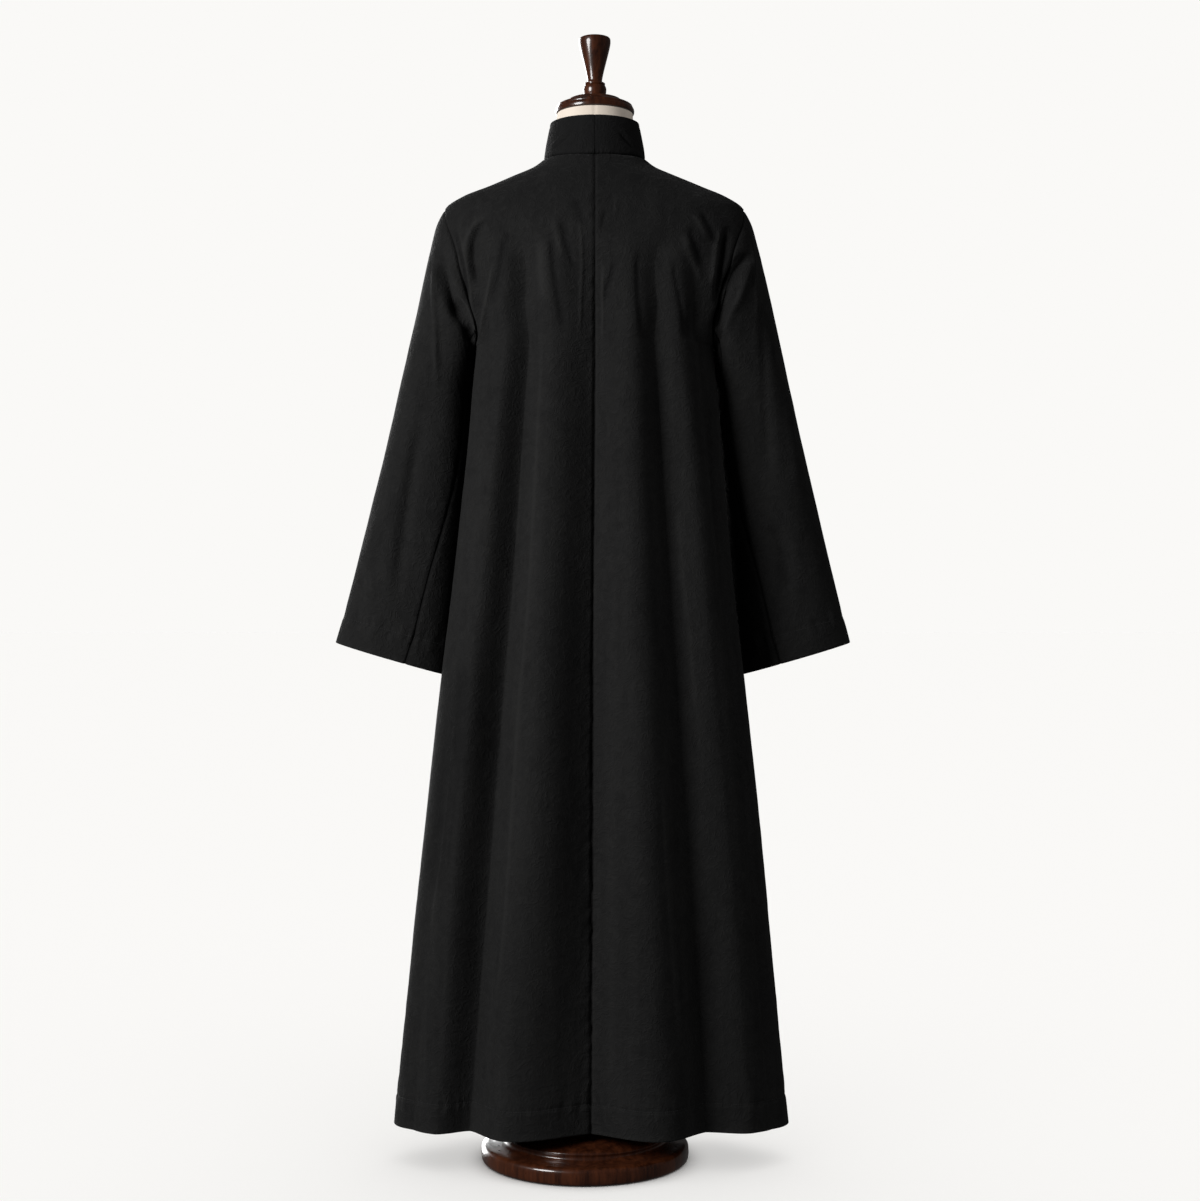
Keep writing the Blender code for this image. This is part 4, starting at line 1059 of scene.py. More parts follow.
def cloth_material():
    """Washed black cotton: a fine weave, marbled creases, paler where it is rubbed, with
    painted highlight on crease ridges and painted shade in crease troughs, on shoulder tops and
    along seam lines.
    """
    known = bpy.data.materials.get("black_cotton")
    if known:
        return known
    cloth = bpy.context.scene.cassock_cloth
    s = Surface(
        "black_cotton", Specular_IOR_Level=0.06, Sheen_Weight=cloth.sheen,
        Sheen_Roughness=0.45,
    )
    place = s.object_place()
    spread = s.node("ShaderNodeTexCoord", out="UV")
    pull = {"Vector": place, "Scale": 30.0}
    drift = s.node(
        "ShaderNodeVectorMath", {"operation": "MULTIPLY_ADD"},
        {0: s.node("ShaderNodeTexNoise", sockets=pull, out=1), 1: (0.030,) * 3, 2: place},
    )
    marbling = 1.0 - abs(s.noise(drift, 38.0, 5.0, 0.6) * 2.0 - 1.0) * 2.2
    streaks = s.noise(s.stretched(place, (1.0, 1.0, 0.07)), 46.0, 4.0, 0.55)
    patches = s.between(s.noise(s.stretched(place, (1.0, 1.0, 0.5)), 7.0, 3.0), 0.3, 0.7)
    crinkles = s.noise(s.stretched(drift, (1.0, 1.0, 1.7)), 120.0, 4.0, 0.6)
    wear_and_painted_light = s.node("ShaderNodeAttribute", {"attribute_name": "wear_and_painted_light"}, out="Fac")
    threads = s.node(
        "ShaderNodeTexChecker", sockets={"Vector": spread, "Scale": 1400.0}, out=1
    )
    crackle = s.ridges(drift, 74.0, 8.0, 0.7) + s.ridges(drift, 125.0, 6.0, 0.5) * 0.6
    sewn = s.node("ShaderNodeAttribute", {"attribute_name": "sewn"}, out="Vector")
    near = [s.node("ShaderNodeSeparateXYZ", sockets={0: sewn}, out=i) for i in range(3)]
    level_pulls = s.noise(s.stretched(place, (0.35, 0.35, 1.0)), 150.0, 2.0, 0.4, 0.3)
    upright_pulls = s.noise(s.stretched(spread, (1.0, 0.35, 1.0)), 150.0, 2.0, 0.4, 0.3)
    pulls = near[0] * level_pulls + near[1] * upright_pulls
    # The cloth's paleness: its own marbling, streaks, patches and crinkles, real rubbing, and
    # the painted highlight and painted shade carried in the wear attribute.
    light = marbling * 0.20 + streaks * 0.50 + patches * 0.16 + crinkles * 0.22
    light = light + wear_and_painted_light * 0.40 + crackle * 0.10
    plain = s.colours(s.between(light, 0.10, 1.15), cloth.shade, cloth.worn_and_highlight_shade)
    # Painted shadow darkens the cloth along seam lines, where the sewn attribute's third part
    # is near 1.
    colour = s.node(
        "ShaderNodeMix", {"data_type": "RGBA"},
        {0: near[2] * 0.85, 6: plain, 7: (*PAINTED_SEAM_SHADOW, 1.0)}, out=2,
    )
    height = marbling * 0.28 + crinkles * 0.55 + threads * 0.05 + crackle * 1.05
    height = height + pulls * 6.0
    rough = 0.80 + 0.12 * patches
    normal = s.bump(height, cloth.crinkle_height * 1.1)
    return s.feed(Base_Color=colour, Roughness=rough, Normal=normal)


def thread_material():
    """Black sewing thread with its twist."""
    known = bpy.data.materials.get("black_thread")
    if known:
        return known
    s = Surface("black_thread", Specular_IOR_Level=0.3)
    place = s.object_place()
    twist = s.noise(s.stretched(place, (1.0, 1.0, 3.0)), 900.0, 2.0)
    colour = s.colours(twist, *THREAD_SHADES)
    return s.feed(Base_Color=colour, Roughness=0.55 + 0.2 * twist, Normal=s.bump(twist, 0.0002))


def wood_material():
    """Dark varnished wood with a fine upright grain."""
    known = bpy.data.materials.get("dark_wood")
    if known:
        return known
    stand = bpy.context.scene.cassock_stand
    s = Surface("dark_wood", Coat_Weight=0.55, Coat_Roughness=0.06, Specular_IOR_Level=0.2)
    place = s.object_place()
    grain = s.noise(s.stretched(place, (9.0, 9.0, 1.0)), 14.0, 6.0, 0.6, 0.4)
    pores = s.noise(s.stretched(place, (30.0, 30.0, 1.2)), 40.0, 3.0)
    figure = s.between(s.noise(s.stretched(place, (2.0, 2.0, 0.6)), 9.0, 3.0), 0.3, 0.7)
    tone = grain * 0.7 + figure * 0.12 + pores * 0.25
    colour = s.colours(s.between(tone, 0.30, 0.85), stand.wood_dark, stand.wood_light)
    dust = s.noise(place, 160.0, 3.0)
    normal = s.bump(pores, 0.00008)
    return s.feed(Base_Color=colour, Roughness=0.22 + 0.16 * dust, Normal=normal)


def form_material():
    """Cream cotton over the form, with a plain weave."""
    known = bpy.data.materials.get("cream_cotton")
    if known:
        return known
    s = Surface("cream_cotton", Specular_IOR_Level=0.15, Sheen_Weight=0.1)
    place = s.object_place()
    slubs = s.noise(s.stretched(place, (1.0, 1.0, 6.0)), 220.0, 3.0)
    stain = s.between(s.noise(place, 11.0, 3.0), 0.3, 0.75)
    weave = s.noise(place, 1300.0, 1.0)
    colour = s.colours(slubs * 0.5 + stain * 0.4, *FORM_SHADES)
    normal = s.bump(weave + slubs, 0.0002)
    return s.feed(Base_Color=colour, Roughness=0.8 + 0.1 * slubs, Normal=normal)


def button_material():
    """Plain black buttons, slightly clouded by handling."""
    known = bpy.data.materials.get("black_button")
    if known:
        return known
    s = Surface("black_button", Specular_IOR_Level=0.4)
    place = s.object_place()
    cloud = s.noise(place, 180.0, 4.0)
    colour = s.colours(cloud, *BUTTON_SHADES)
    return s.feed(Base_Color=colour, Roughness=0.35 + 0.2 * cloud, Normal=s.bump(cloud, 0.0001))


# --------------------------------------------------------------- hard pieces
Turning = namedtuple("Turning", "z radius")
FINIAL_PROFILE = (
    Turning(1.5849, 0.0125), Turning(1.5870, 0.0145), Turning(1.5910, 0.0160),
    Turning(1.5955, 0.0171), Turning(1.5995, 0.0174), Turning(1.6033, 0.0166),
    Turning(1.6055, 0.0144), Turning(1.6065, 0.0154), Turning(1.6085, 0.0154),
    Turning(1.6097, 0.0120), Turning(1.6120, 0.0109), Turning(1.6182, 0.0118),
    Turning(1.6276, 0.0138), Turning(1.6419, 0.0174), Turning(1.6561, 0.0210),
    Turning(1.6656, 0.0231), Turning(1.6700, 0.0236), Turning(1.6740, 0.0235),
    Turning(1.6762, 0.0222), Turning(1.6772, 0.0150),
)
CAP_PROFILE = (
    Turning(1.5620, 0.0560), Turning(1.5632, 0.0588), Turning(1.5665, 0.0592),
    Turning(1.5700, 0.0582), Turning(1.5712, 0.0566), Turning(1.5732, 0.0566),
    Turning(1.5750, 0.0552), Turning(1.5770, 0.0500), Turning(1.5790, 0.0440),
    Turning(1.5807, 0.0410), Turning(1.5835, 0.0390), Turning(1.5845, 0.0360),
)
BASE_PROFILE = (
    Turning(0.0000, 0.1500), Turning(0.0030, 0.1540), Turning(0.0100, 0.1550),
    Turning(0.0190, 0.1545), Turning(0.0235, 0.1520), Turning(0.0255, 0.1480),
    Turning(0.0262, 0.1380), Turning(0.0280, 0.1260), Turning(0.0300, 0.1225),
    Turning(0.0335, 0.1215), Turning(0.0370, 0.1225), Turning(0.0400, 0.1200),
    Turning(0.0420, 0.1150), Turning(0.0450, 0.1020), Turning(0.0500, 0.0800),
    Turning(0.0580, 0.0580), Turning(0.0680, 0.0430), Turning(0.0800, 0.0355),
    Turning(0.0900, 0.0340),
)
COLUMN_PROFILE = (
    Turning(0.0904, 0.0300), Turning(0.0935, 0.0312), Turning(0.0960, 0.0310),
    Turning(0.1010, 0.0290), Turning(0.1040, 0.0260), Turning(0.4400, 0.0260),
    Turning(0.7796, 0.0260),
)


LATHE_SIDES = 128


def deselect_all():
    """Object mode with nothing selected."""
    if bpy.context.object and bpy.context.object.mode != "OBJECT":
        bpy.ops.object.mode_set(mode="OBJECT")
    bpy.ops.object.select_all(action="DESELECT")


def finer(profile, steps):
    """The profile with smooth steps put between its rows."""
    pairs = zip(profile, profile[1:])
    runs = [math.hypot(b.z - a.z, b.radius - a.radius) for a, b in pairs]
    reach = np.cumsum([0.0] + runs)
    between = [np.linspace(a, b, steps, endpoint=False) for a, b in zip(reach, reach[1:])]
    at = np.concatenate(between + [reach[-1:]])
    heights = smooth_table(reach, [p.z for p in profile], at)
    radii = smooth_table(reach, [p.radius for p in profile], at)
    return [Turning(float(z), float(r)) for z, r in zip(heights, radii)]


def turned_piece(name, profile, steps, material):
    """A disc drawn up its profile as on a lathe, closed at both ends."""
    rows = finer(profile, steps)
    deselect_all()
    bpy.ops.mesh.primitive_circle_add(
        vertices=LATHE_SIDES, radius=rows[0].radius, fill_type="NGON",
        location=(0.0, 0.0, rows[0].z),
    )
    made = bpy.context.object
    bpy.ops.object.mode_set(mode="EDIT")
    bpy.ops.mesh.select_all(action="SELECT")
    for below, here in zip(rows, rows[1:]):
        rise = {"value": (0.0, 0.0, here.z - below.z)}
        bpy.ops.mesh.extrude_region_move(TRANSFORM_OT_translate=rise)
        scale = here.radius / below.radius
        centre = (0.0, 0.0, here.z)
        bpy.ops.transform.resize(value=(scale, scale, 1.0), center_override=centre)
    bpy.ops.mesh.select_all(action="SELECT")
    bpy.ops.mesh.normals_make_consistent(inside=False)
    bpy.ops.object.mode_set(mode="OBJECT")
    bpy.ops.object.transform_apply(location=True, rotation=True, scale=True)
    bpy.ops.object.shade_smooth_by_angle(angle=math.radians(35.0))
    made.name = name
    made.data.name = name
    made.data.materials.append(material)
    return made


def shift_mesh(piece, move):
    """Puts each point of a piece's mesh where move says."""
    for vertex in piece.data.vertices:
        vertex.co = move(vertex.co)
    piece.data.update()


def add_stand():
    """The turned base, the pole up into the form, and the cap and finial on its neck."""
    material = wood_material()
    rise = COLUMN_PROFILE[-1].z - COLUMN_PROFILE[0].z
    top = on_garment((0.0, 0.0, COLUMN_PROFILE[-1].z))[0]

    def lean(point):
        return point + Vector((top * (point.z - COLUMN_PROFILE[0].z) / rise, 0.0, 0.0))

    for name, node, profile, steps, move in (
        ("turned_base", "stand_base", BASE_PROFILE, 3, Vector),
        ("pole", "stand_column", COLUMN_PROFILE, 2, lean),
        ("turned_cap", "neck_cap", CAP_PROFILE, 3, on_garment),
        ("turned_finial", "finial", FINIAL_PROFILE, 3, on_garment),
    ):
        piece = turned_piece(name, profile, steps, material)
        shift_mesh(piece, move)
        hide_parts(node)
        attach(piece, BODY)


FormSection = namedtuple("FormSection", "name z half_width back front")
FORM_BELOW_SHOULDER = (
    FormSection("arm_end", 1.3700, 0.2060, 0.0930, 0.0990),
    FormSection("armpit", 1.3000, 0.1860, 0.0960, 0.1030),
    FormSection("chest", 1.2200, 0.1640, 0.0885, 0.1040),
    FormSection("ribs", 1.1300, 0.1560, 0.0800, 0.0990),
    FormSection("waist", 1.0500, 0.1500, 0.0740, 0.0950),
    FormSection("seat", 0.9500, 0.1560, 0.0760, 0.0930),
    FormSection("hip", 0.8700, 0.1600, 0.0780, 0.0930),
    FormSection("hip_foot", 0.8000, 0.1560, 0.0760, 0.0900),
    FormSection("underside_edge", 0.7800, 0.1460, 0.0690, 0.0830),
)
FORM_SHOULDER_LEVELS = (1.4780, 1.4660, 1.4520, 1.4370, 1.4220)
NECK_TOP = 1.5615
FORM_INSET = 0.0046
FORM_FRONT_INSET = 0.0045
FORM_COLUMNS = 144
FORM_ROWS = 180
# The form's centre seams, this deep where its neck has this radius. FORM_SEAM_TURN is
# their half width in degrees.
FORM_SEAM_DEPTH = 0.0009
FORM_NECK_RADIUS = 0.058
FORM_SEAM_TURN = 1.6
FORM_NECK = (
    Section("neck_top", NECK_TOP, NECK_TOP, NECK_TOP, 0.0570, 0.0565, 0.0565, 1.0),
    Section("neck", 1.5300, 1.5300, 1.5250, 0.0575, 0.0570, 0.0575, 1.0),
    Section("neck_foot", 1.4920, 1.4930, 1.4640, 0.0615, 0.0595, 0.0605, 1.0),
)


def form_rings(turns):
    """The form's rings from the neck down, before they are made finer."""
    rings = [section_point(section, turns) for section in FORM_NECK]
    for level in FORM_SHOULDER_LEVELS:
        section, below = section_at(level), section_at(level - LEVEL_STEP)
        point = section_point(section, turns)
        forward = np.zeros_like(point)
        forward[:, 1] = np.maximum(0.0, -np.cos(np.radians(turns)))
        along = section_point(section, turns + 1.0) - section_point(section, turns - 1.0)
        normal = unit(np.cross(along, section_point(below, turns) - point))
        rings.append(point - normal * FORM_INSET + forward * FORM_FRONT_INSET)
    for row in FORM_BELOW_SHOULDER:
        section = Section(
            row.name, row.z, row.z, row.z, row.half_width, row.back, row.front, 1.0
        )
        rings.append(section_point(section, turns))
    return np.array(rings)


def add_form():
    """The cloth-covered torso, with its centre seams, closed above and below."""
    turns = np.arange(FORM_COLUMNS) * 360.0 / FORM_COLUMNS
    rings = form_rings(turns)
    steps = np.linspace(0, len(rings) - 1, FORM_ROWS)
    grid = np.empty((FORM_ROWS, FORM_COLUMNS, 3))
    for c in range(FORM_COLUMNS):
        for axis in range(3):
            grid[:, c, axis] = smooth_table(range(len(rings)), rings[:, c, axis], steps)
    for seam in (0.0, 180.0):
        away = np.abs((turns - seam + 180.0) % 360.0 - 180.0)
        groove = FORM_SEAM_DEPTH * np.exp(-((away / FORM_SEAM_TURN) ** 2))
        grid[..., :2] *= 1.0 - groove[None, :, None] / FORM_NECK_RADIUS
    points = on_garment(grid.reshape(-1, 3))
    index = np.arange(FORM_ROWS * FORM_COLUMNS).reshape(FORM_ROWS, FORM_COLUMNS)
    after = np.roll(index, -1, 1)
    quads = np.stack([index[:-1], after[:-1], after[1:], index[1:]], -1).reshape(-1, 4)
    faces = quads.tolist() + [index[0, ::-1].tolist(), index[-1].tolist()]
    mesh = bpy.data.meshes.new("form_body")
    mesh.from_pydata(points.tolist(), [], faces)
    mesh.materials.append(form_material())
    mesh.shade_smooth()
    mesh.set_sharp_from_angle(angle=math.radians(50.0))
    piece = new_object("form_body", mesh)
    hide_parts("form_torso")
    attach(piece, BODY)


# ------------------------------------------------------- buttons and stitches
BUTTON_COUNT = 20
BUTTON_TOP_HEIGHT = 1.437
BUTTON_PITCH = 0.064
BUTTON_RADIUS = 0.0068
BUTTON_HEIGHT = 0.0026
BUTTON_STAND_OFF = 0.0006
BUTTON_EDGE = 0.0005
# The steps of the button's dome, from its rim in: how far in, and how far up.
BUTTON_DOME = ((0.0008, 0.0005), (0.0012, 0.0006), (0.0016, 0.0004), (0.0016, 0.0001))


def button_place(number):
    """Where a button sits on the centre front, and its axes across, along and out."""
    levels = np.linspace(HEM_LEVEL, NECK_SIDE_LEVEL, 400)
    heights = section_at(levels).front_z
    level = float(np.interp(BUTTON_TOP_HEIGHT - number * BUTTON_PITCH, heights, levels))
    above, here, below = (
        section_point(section_at(level + shift), 180.0)
        for shift in (LEVEL_STEP, 0.0, -LEVEL_STEP)
    )
    along = unit(above - below)
    across = np.array([1.0, 0.0, 0.0])
    out = np.cross(across, along)
    return on_garment(here), across, along, out


def first_button():
    """One domed button, modelled upright at the origin."""
    deselect_all()
    bpy.ops.mesh.primitive_cylinder_add(
        vertices=32, radius=BUTTON_RADIUS, depth=BUTTON_HEIGHT,
        location=(0.0, 0.0, BUTTON_HEIGHT / 2),
    )
    made = bpy.context.object
    bpy.ops.object.transform_apply(location=True, rotation=True, scale=True)
    bpy.ops.object.mode_set(mode="EDIT")
    bpy.ops.mesh.select_mode(type="FACE")
    bpy.ops.mesh.select_all(action="DESELECT")
    bpy.ops.object.mode_set(mode="OBJECT")
    for face in made.data.polygons:
        face.select = face.normal.z > 0.9
    bpy.ops.object.mode_set(mode="EDIT")
    for inset, rise in BUTTON_DOME:
        bpy.ops.mesh.inset(thickness=inset, depth=rise)
    bpy.ops.object.mode_set(mode="OBJECT")
    edge = made.modifiers.new("edge", "BEVEL")
    edge.width = BUTTON_EDGE
    edge.segments = 2
    edge.limit_method = "ANGLE"
    bpy.ops.object.modifier_apply(modifier=edge.name)
    bpy.ops.object.shade_smooth_by_angle(angle=math.radians(50.0))
    return made


def add_buttons():
    pattern = first_button()
    pattern.data.materials.append(button_material())
    for number in range(BUTTON_COUNT):
        here, across, along, out = button_place(number)
        mesh = pattern.data.copy()
        axes = Matrix((across, np.cross(out, across), out)).transposed().to_4x4()
        place = Matrix.Translation(Vector(here + out * BUTTON_STAND_OFF))
        mesh.transform(place @ axes)
        piece = new_object(f"round_button_{number + 1:02d}", mesh)
        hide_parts(f"button_{number + 1:02d}")
        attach(piece, BODY)
    bpy.data.objects.remove(pattern, do_unlink=True)


# One stitch, one unit long, wide and high, as corners (along, aside, out) and faces.
STITCH_CORNERS = np.array([
    (-0.5, 0.0, -0.1), (-0.28, -0.5, 0.5), (-0.28, 0.5, 0.5),
    (0.28, -0.5, 0.5), (0.28, 0.5, 0.5), (0.5, 0.0, -0.1),
    (0.0, -0.5, -0.4), (0.0, 0.5, -0.4),
])
STITCH_FACES = np.array([
    (0, 1, 2), (1, 3, 4), (1, 4, 2), (3, 5, 4),
    (0, 6, 1), (1, 6, 3), (3, 6, 5), (0, 2, 7),
    (2, 4, 7), (4, 5, 7), (0, 7, 6), (5, 6, 7),
])
STITCH_SHARE = 0.72
STITCH_WIDTH = 0.00062
STITCH_RISE = 0.0002
STITCH_AHEAD = 0.0005


def along_run(places, reach, values):
    """Points or normals at places along a run, between those it is given at."""
    return np.stack([np.interp(places, reach, values[:, i]) for i in range(3)], -1)


def stitch_mesh(name, runs, material):
    """Short raised stitches along runs of points, joined in one mesh."""
    pitch = bpy.context.scene.cassock_sewing.stitch_pitch
    points, triangles = [], []
    for path, normals in runs:
        steps = np.linalg.norm(np.diff(path, axis=0), axis=-1)
        reach = np.concatenate([[0.0], np.cumsum(steps)])
        places = np.arange(pitch, reach[-1], pitch)
        middle = along_run(places, reach, path)
        out = unit(along_run(places, reach, normals))
        along = unit(along_run(places + STITCH_AHEAD, reach, path) - middle)
        side = np.cross(out, along)
        for i in range(len(places)):
            axes = np.stack([
                STITCH_SHARE * pitch * along[i], STITCH_WIDTH * side[i], STITCH_WIDTH * out[i],
            ])
            triangles.append(STITCH_FACES + len(points) * len(STITCH_CORNERS))
            points.append(middle[i] + STITCH_CORNERS @ axes)
    mesh = bpy.data.meshes.new(name)
    joined = on_garment(np.concatenate(points))
    mesh.from_pydata(joined.tolist(), [], np.concatenate(triangles).tolist())
    mesh.materials.append(material)
    mesh.shade_smooth()
    piece = new_object(name, mesh)
    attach(piece, BODY)


def stitched_row(grid, normals, depth):
    """The points and normals of the row nearest to a distance above the lower edge."""
    shape = grid + normals * (fine_relief(grid, normals) + STITCH_RISE)[..., None]
    row = int(np.argmin(np.abs(to_last_row(grid).mean(1) - depth)))
    return shape[row], normals[row]


def add_stitching():
    """The rows of stitches along the hem and the cuffs."""
    sewing = bpy.context.scene.cassock_sewing
    material = thread_material()
    hems, cuffs = [], []
    for side in SIDES:
        back, back_normals, front, front_normals = body_panels(side)
        hems.append(stitched_row(back, back_normals, sewing.hem_depth))
        hems.append(stitched_row(front, front_normals, sewing.hem_depth))
        grid, normals, _ = sleeve_grid(side)
        cuffs.append(stitched_row(grid, normals, sewing.cuff_depth))
    stitch_mesh("hem_stitches", hems, material)
    stitch_mesh("cuff_stitches", cuffs, material)


# -------------------------------------------------------------------- stage
CAMERA_PLACE = (-0.0223, 2.870, 0.805)
CAMERA_LENS = 57.4
CAMERA_SHIFT_Y = 0.0162
KEY_PLACE = (2.22, 2.02, 1.78)
KEY_AIM = (0.0, 0.0, 1.0)
KEY_SIZE = 1.4
FILL_FROM = (-0.94, 0.24, 0.24)
FRONT_FROM = (0.45, -1.0, 0.12)
ABOVE = (0.0, 0.0, 1.0)
STUDIO_WHITE = (0.956, 0.947, 0.930)
FLOOR_SIZE = 240.0
CAMERA_SENSOR = 36.0
CAMERA_REACH = 400.0
# How wide each distant lamp looks, in degrees.
FILL_SPREAD = 60.0
FRONT_SPREAD = 40.0
FLOOR_SPREAD = 120.0


def add_sun(name, source, strength, spread, lights):
    """A distant lamp that lights only what its collection lets it."""
    lamp = bpy.data.lights.new(name, "SUN")
    lamp.energy = strength
    lamp.angle = math.radians(spread)
    made = new_object(name, lamp)
    made.rotation_euler = Vector(source).to_track_quat("Z", "Y").to_euler()
    made.light_linking.receiver_collection = lights
    return made


def add_softbox(name, place, aim, size, power, lights):
    """A round studio lamp near by, so that its light falls off down the garment."""
    lamp = bpy.data.lights.new(name, "AREA")
    lamp.shape = "DISK"
    lamp.size = size
    lamp.energy = power
    made = new_object(name, lamp)
    made.location = place
    back = Vector(place) - Vector(aim)
    made.rotation_euler = back.to_track_quat("Z", "Y").to_euler()
    made.visible_camera = False
    made.light_linking.receiver_collection = lights


def lit_by_itself(floor, name, state):
    """A collection that lights only the floor, or everything but the floor."""
    made = bpy.data.collections.new(name)
    made.objects.link(floor)
    made.collection_objects[0].light_linking.link_state = state
    return made


def add_floor():
    """The pale floor, which the garment neither reflects nor is lit by."""
    deselect_all()
    bpy.ops.mesh.primitive_plane_add(size=FLOOR_SIZE, location=(0.0, 0.0, 0.0))
    floor = bpy.context.object
    floor.name = "studio_floor"
    s = Surface("pale_floor", Specular_IOR_Level=0.0, Roughness=1.0)
    tone = s.noise(s.object_place(), 0.5, 2.0)
    floor.data.materials.append(s.feed(Base_Color=s.colours(tone, STUDIO_WHITE, STUDIO_WHITE)))
    floor.visible_diffuse = False
    floor.visible_glossy = False
    return floor


def add_surround(scene):
    """The studio all round: bright to look at, dimmer in the varnish and as light."""
    stage = scene.cassock_stage
    world = scene.world or bpy.data.worlds.new("studio")
    scene.world = world
    world.use_nodes = True
    tree = world.node_tree
    background = tree.nodes["Background"]
    background.inputs["Color"].default_value = (*STUDIO_WHITE, 1.0)
    ray = tree.nodes.new("ShaderNodeLightPath")
    mirrored_light = tree.nodes.new("ShaderNodeMix")
    mirrored_light.inputs["A"].default_value = stage.ambient
    mirrored_light.inputs["B"].default_value = stage.reflected
    seen = tree.nodes.new("ShaderNodeMix")
    seen.inputs["B"].default_value = 1.0
    for start, end in (
        (ray.outputs["Is Glossy Ray"], mirrored_light.inputs["Factor"]),
        (mirrored_light.outputs["Result"], seen.inputs["A"]),
        (ray.outputs["Is Camera Ray"], seen.inputs["Factor"]),
        (seen.outputs["Result"], background.inputs["Strength"]),
    ):
        tree.links.new(start, end)


def add_lights(floor, stage):
    """The softbox and two soft lamps on the garment, and the floor's own light."""
    only_floor = lit_by_itself(floor, "floor_only", "INCLUDE")
    all_but_floor = lit_by_itself(floor, "all_but_floor", "EXCLUDE")
    add_softbox("key_light", KEY_PLACE, KEY_AIM, KEY_SIZE, stage.key, all_but_floor)
    fill_light = add_sun("fill_light", FILL_FROM, stage.fill, FILL_SPREAD, all_but_floor)
    fill_light.visible_glossy = False
    add_sun("front_light", FRONT_FROM, stage.front, FRONT_SPREAD, all_but_floor)
    strength = math.pi * (1.0 - stage.ambient)
    floor_light = add_sun("floor_light", ABOVE, strength, FLOOR_SPREAD, only_floor)
    blockers = bpy.data.collections.new("floor_shade")
    blockers.objects.link(bpy.data.objects["turned_base"])
    floor_light.light_linking.blocker_collection = blockers


def add_camera(scene):
    """A level camera behind the garment, turned to its back."""
    camera = bpy.data.cameras.new("studio_camera")
    camera.lens = CAMERA_LENS
    camera.sensor_width = CAMERA_SENSOR
    camera.shift_y = CAMERA_SHIFT_Y
    camera.clip_end = CAMERA_REACH
    made = new_object("studio_camera", camera)
    made.location = CAMERA_PLACE
    made.rotation_euler = (math.radians(90.0), 0.0, math.radians(180.0))
    scene.camera = made


def add_stage():
    scene = bpy.context.scene
    floor = add_floor()
    add_surround(scene)
    add_lights(floor, scene.cassock_stage)
    add_camera(scene)
    scene.view_settings.view_transform = "Standard"
    scene.view_settings.look = "None"


# ------------------------------------------------------------ the add-on
class CassockCloth(bpy.types.PropertyGroup):
    """The finish of the garment's cloth."""

    # The darkest cloth colour, which the painted shade in crease troughs and on shoulder tops
    # draws towards.
    shade: FloatVectorProperty(
        name="Cloth", description="Colour of the black cotton in its hollows",
        subtype="COLOR", size=3, min=0.0, max=1.0, default=(0.0066, 0.0066, 0.0067),
    )
    # The palest cloth colour, for rubbed edges and for the painted highlight along crease
    # ridges.
    worn_and_highlight_shade: FloatVectorProperty(
        name="Rubbed cloth", description="Colour where the cotton is creased or rubbed",
        subtype="COLOR", size=3, min=0.0, max=1.0, default=(0.0165, 0.0164, 0.0161),
    )
    sheen: FloatProperty(
        name="Sheen", description="Strength of the cotton's soft nap",
        min=0.0, max=1.0, default=0.03,
    )
    crinkle_height: FloatProperty(
        name="Crinkle", description="Height of the washed cotton's small creases",
        unit="LENGTH", min=0.0, default=0.00034,
    )


class CassockSewing(bpy.types.PropertyGroup):
    """The seams, hems and stitches."""

    seam_depth: FloatProperty(
        name="Seam depth", description="Depth of the dip along a sewn seam",
        unit="LENGTH", min=0.0, default=0.0016,
    )
    seam_width: FloatProperty(
        name="Seam width", description="Half width of that dip",
        unit="LENGTH", min=0.0001, default=0.0028,
    )
    hem_depth: FloatProperty(
        name="Hem", description="Height of the stitch line above the hem",
        unit="LENGTH", min=0.0, default=0.042,
    )
    cuff_depth: FloatProperty(
        name="Cuff hem", description="Height of the stitch line above the cuff's edge",
        unit="LENGTH", min=0.0, default=0.040,
    )
    pucker: FloatProperty(
        name="Pucker", description="Height of the small pulls along the seams",
        unit="LENGTH", min=0.0, default=0.0009,
    )
    stitch_pitch: FloatProperty(
        name="Stitch", description="Distance from one stitch to the next",
        unit="LENGTH", min=0.0005, default=0.0034,
    )


class CassockStand(bpy.types.PropertyGroup):
    """The turned wood of the dress form."""

    wood_dark: FloatVectorProperty(
        name="Dark grain", description="Darkest colour of the varnished wood",
        subtype="COLOR", size=3, min=0.0, max=1.0, default=(0.012, 0.0030, 0.0014),
    )
    wood_light: FloatVectorProperty(
        name="Light grain", description="Lightest colour of the varnished wood",
        subtype="COLOR", size=3, min=0.0, max=1.0, default=(0.085, 0.024, 0.009),
    )


class CassockStage(bpy.types.PropertyGroup):
    """The studio's lights."""

    key: FloatProperty(
        name="Key light", description="Power in watts of the softbox at the wearer's left",
        min=0.0, default=120.0,
    )
    fill: FloatProperty(
        name="Fill light", description="Strength of the light from the wearer's right",
        min=0.0, default=1.00,
    )
    front: FloatProperty(
        name="Front light", description="Strength of the soft light on the buttoned front",
        min=0.0, default=3.2,
    )
    reflected: FloatProperty(
        name="Reflected studio", description="Strength of the studio seen in the varnish",
        min=0.0, default=0.07,
    )
    ambient: FloatProperty(
        name="Ambient", description="Strength of the even light from all round",
        min=0.0, default=0.040,
    )


class OBJECT_OT_cassock_form(bpy.types.Operator):
    """Adds the cloth-covered torso of the dress form"""

    bl_idname = "object.cassock_form"
    bl_label = "Dress Form"

    def execute(self, context):
        add_form()
        return {"FINISHED"}


class OBJECT_OT_cassock_stand(bpy.types.Operator):
    """Adds the turned base, pole, cap and finial"""

    bl_idname = "object.cassock_stand"
    bl_label = "Turned Stand"

    def execute(self, context):
        add_stand()
        return {"FINISHED"}


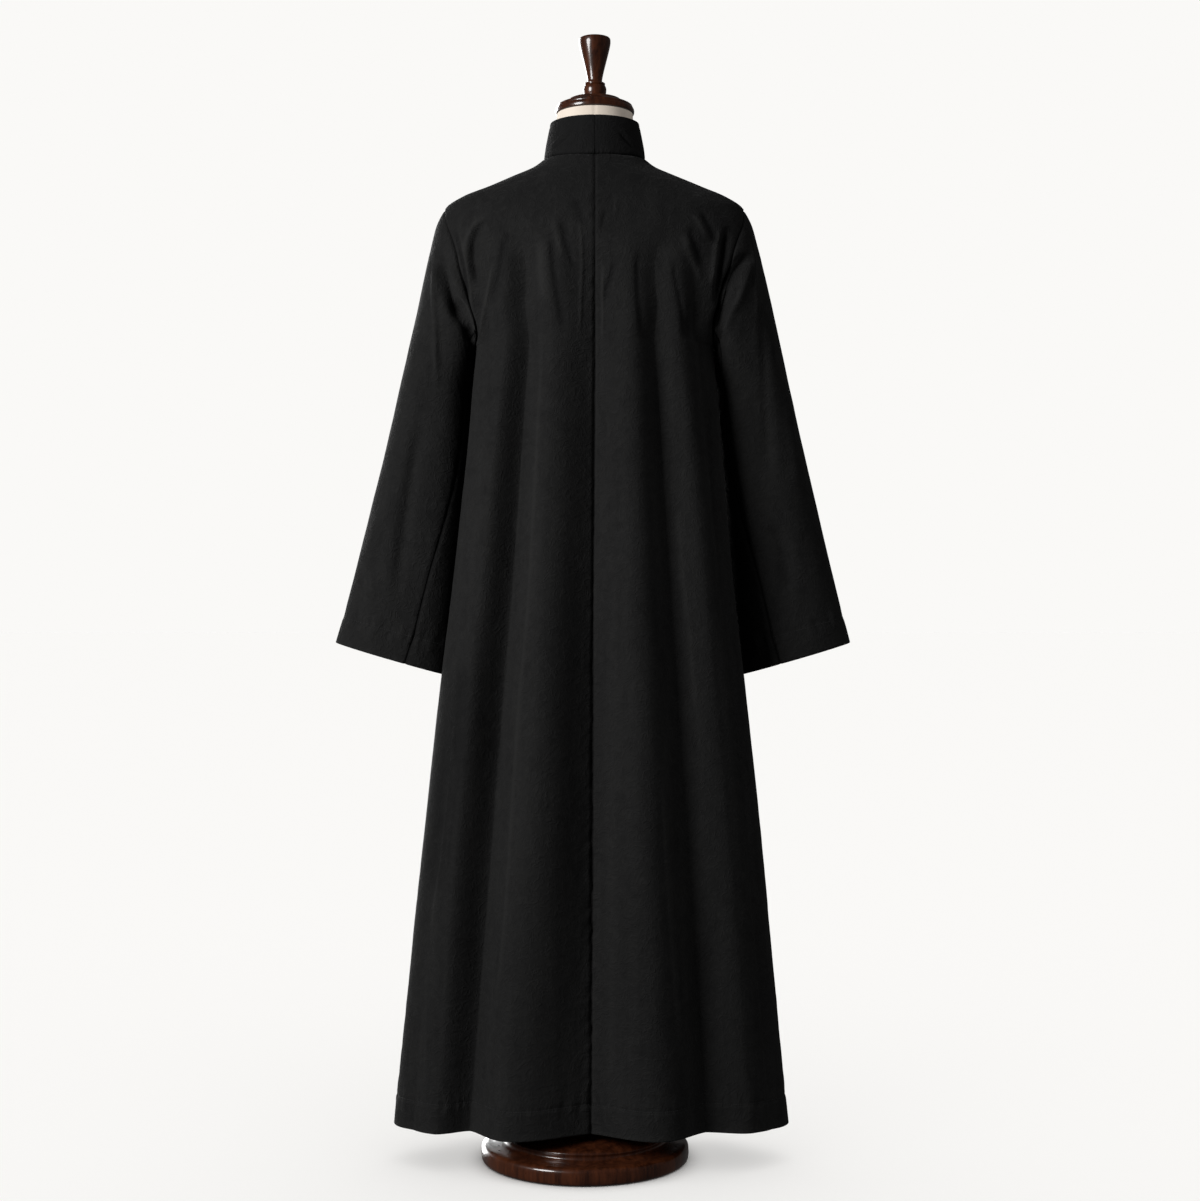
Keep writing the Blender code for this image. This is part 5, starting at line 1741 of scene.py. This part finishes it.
class OBJECT_OT_cassock_backs(bpy.types.Operator):
    """Adds the two back panels with their folds and centre seam"""

    bl_idname = "object.cassock_backs"
    bl_label = "Backs"

    def execute(self, context):
        add_backs()
        return {"FINISHED"}


class OBJECT_OT_cassock_fronts(bpy.types.Operator):
    """Adds the two lapped front panels"""

    bl_idname = "object.cassock_fronts"
    bl_label = "Fronts"

    def execute(self, context):
        add_fronts()
        return {"FINISHED"}


class OBJECT_OT_cassock_sleeves(bpy.types.Operator):
    """Adds the upper and under sleeves"""

    bl_idname = "object.cassock_sleeves"
    bl_label = "Sleeves"

    def execute(self, context):
        add_sleeves()
        return {"FINISHED"}


class OBJECT_OT_cassock_collar(bpy.types.Operator):
    """Adds the stand collar's two halves"""

    bl_idname = "object.cassock_collar"
    bl_label = "Stand Collar"

    def execute(self, context):
        add_collar()
        return {"FINISHED"}


class OBJECT_OT_cassock_buttons(bpy.types.Operator):
    """Adds the row of buttons down the centre front"""

    bl_idname = "object.cassock_buttons"
    bl_label = "Buttons"

    def execute(self, context):
        add_buttons()
        return {"FINISHED"}


class OBJECT_OT_cassock_stitching(bpy.types.Operator):
    """Adds the rows of stitches along the hem and cuffs"""

    bl_idname = "object.cassock_stitching"
    bl_label = "Stitching"

    def execute(self, context):
        add_stitching()
        return {"FINISHED"}


class OBJECT_OT_cassock_stage(bpy.types.Operator):
    """Adds the floor, lights and camera"""

    bl_idname = "object.cassock_stage"
    bl_label = "Studio"

    def execute(self, context):
        add_stage()
        return {"FINISHED"}


STEPS = (
    "cassock_form", "cassock_stand", "cassock_backs", "cassock_fronts", "cassock_sleeves",
    "cassock_collar", "cassock_buttons", "cassock_stitching", "cassock_stage",
)


class VIEW3D_PT_cassock(bpy.types.Panel):
    """Lists the cassock's sizes, colours and pieces"""

    bl_idname = "VIEW3D_PT_cassock"
    bl_label = "Cassock"
    bl_space_type = "VIEW_3D"
    bl_region_type = "UI"
    bl_category = "Cassock"

    def draw(self, context):
        for group in GROUPS:
            settings = getattr(context.scene, group)
            for name in settings.bl_rna.properties.keys():
                if name not in ("rna_type", "name"):
                    self.layout.prop(settings, name)
        for step in STEPS:
            self.layout.operator(f"object.{step}")


GROUPS = {
    "cassock_cloth": CassockCloth, "cassock_sewing": CassockSewing,
    "cassock_stand": CassockStand, "cassock_stage": CassockStage,
}
CLASSES = (
    CassockCloth, CassockSewing, CassockStand, CassockStage,
    OBJECT_OT_cassock_form, OBJECT_OT_cassock_stand, OBJECT_OT_cassock_backs,
    OBJECT_OT_cassock_fronts, OBJECT_OT_cassock_sleeves, OBJECT_OT_cassock_collar,
    OBJECT_OT_cassock_buttons, OBJECT_OT_cassock_stitching, OBJECT_OT_cassock_stage,
    VIEW3D_PT_cassock,
)


def register():
    for made in CLASSES:
        bpy.utils.register_class(made)
    for name, group in GROUPS.items():
        setattr(bpy.types.Scene, name, PointerProperty(type=group))


def unregister():
    for name in GROUPS:
        delattr(bpy.types.Scene, name)
    for made in reversed(CLASSES):
        bpy.utils.unregister_class(made)


def main():
    """Builds every piece and the studio."""
    register()
    for step in STEPS:
        getattr(bpy.ops.object, step)()


if __name__ == "__main__":
    main()
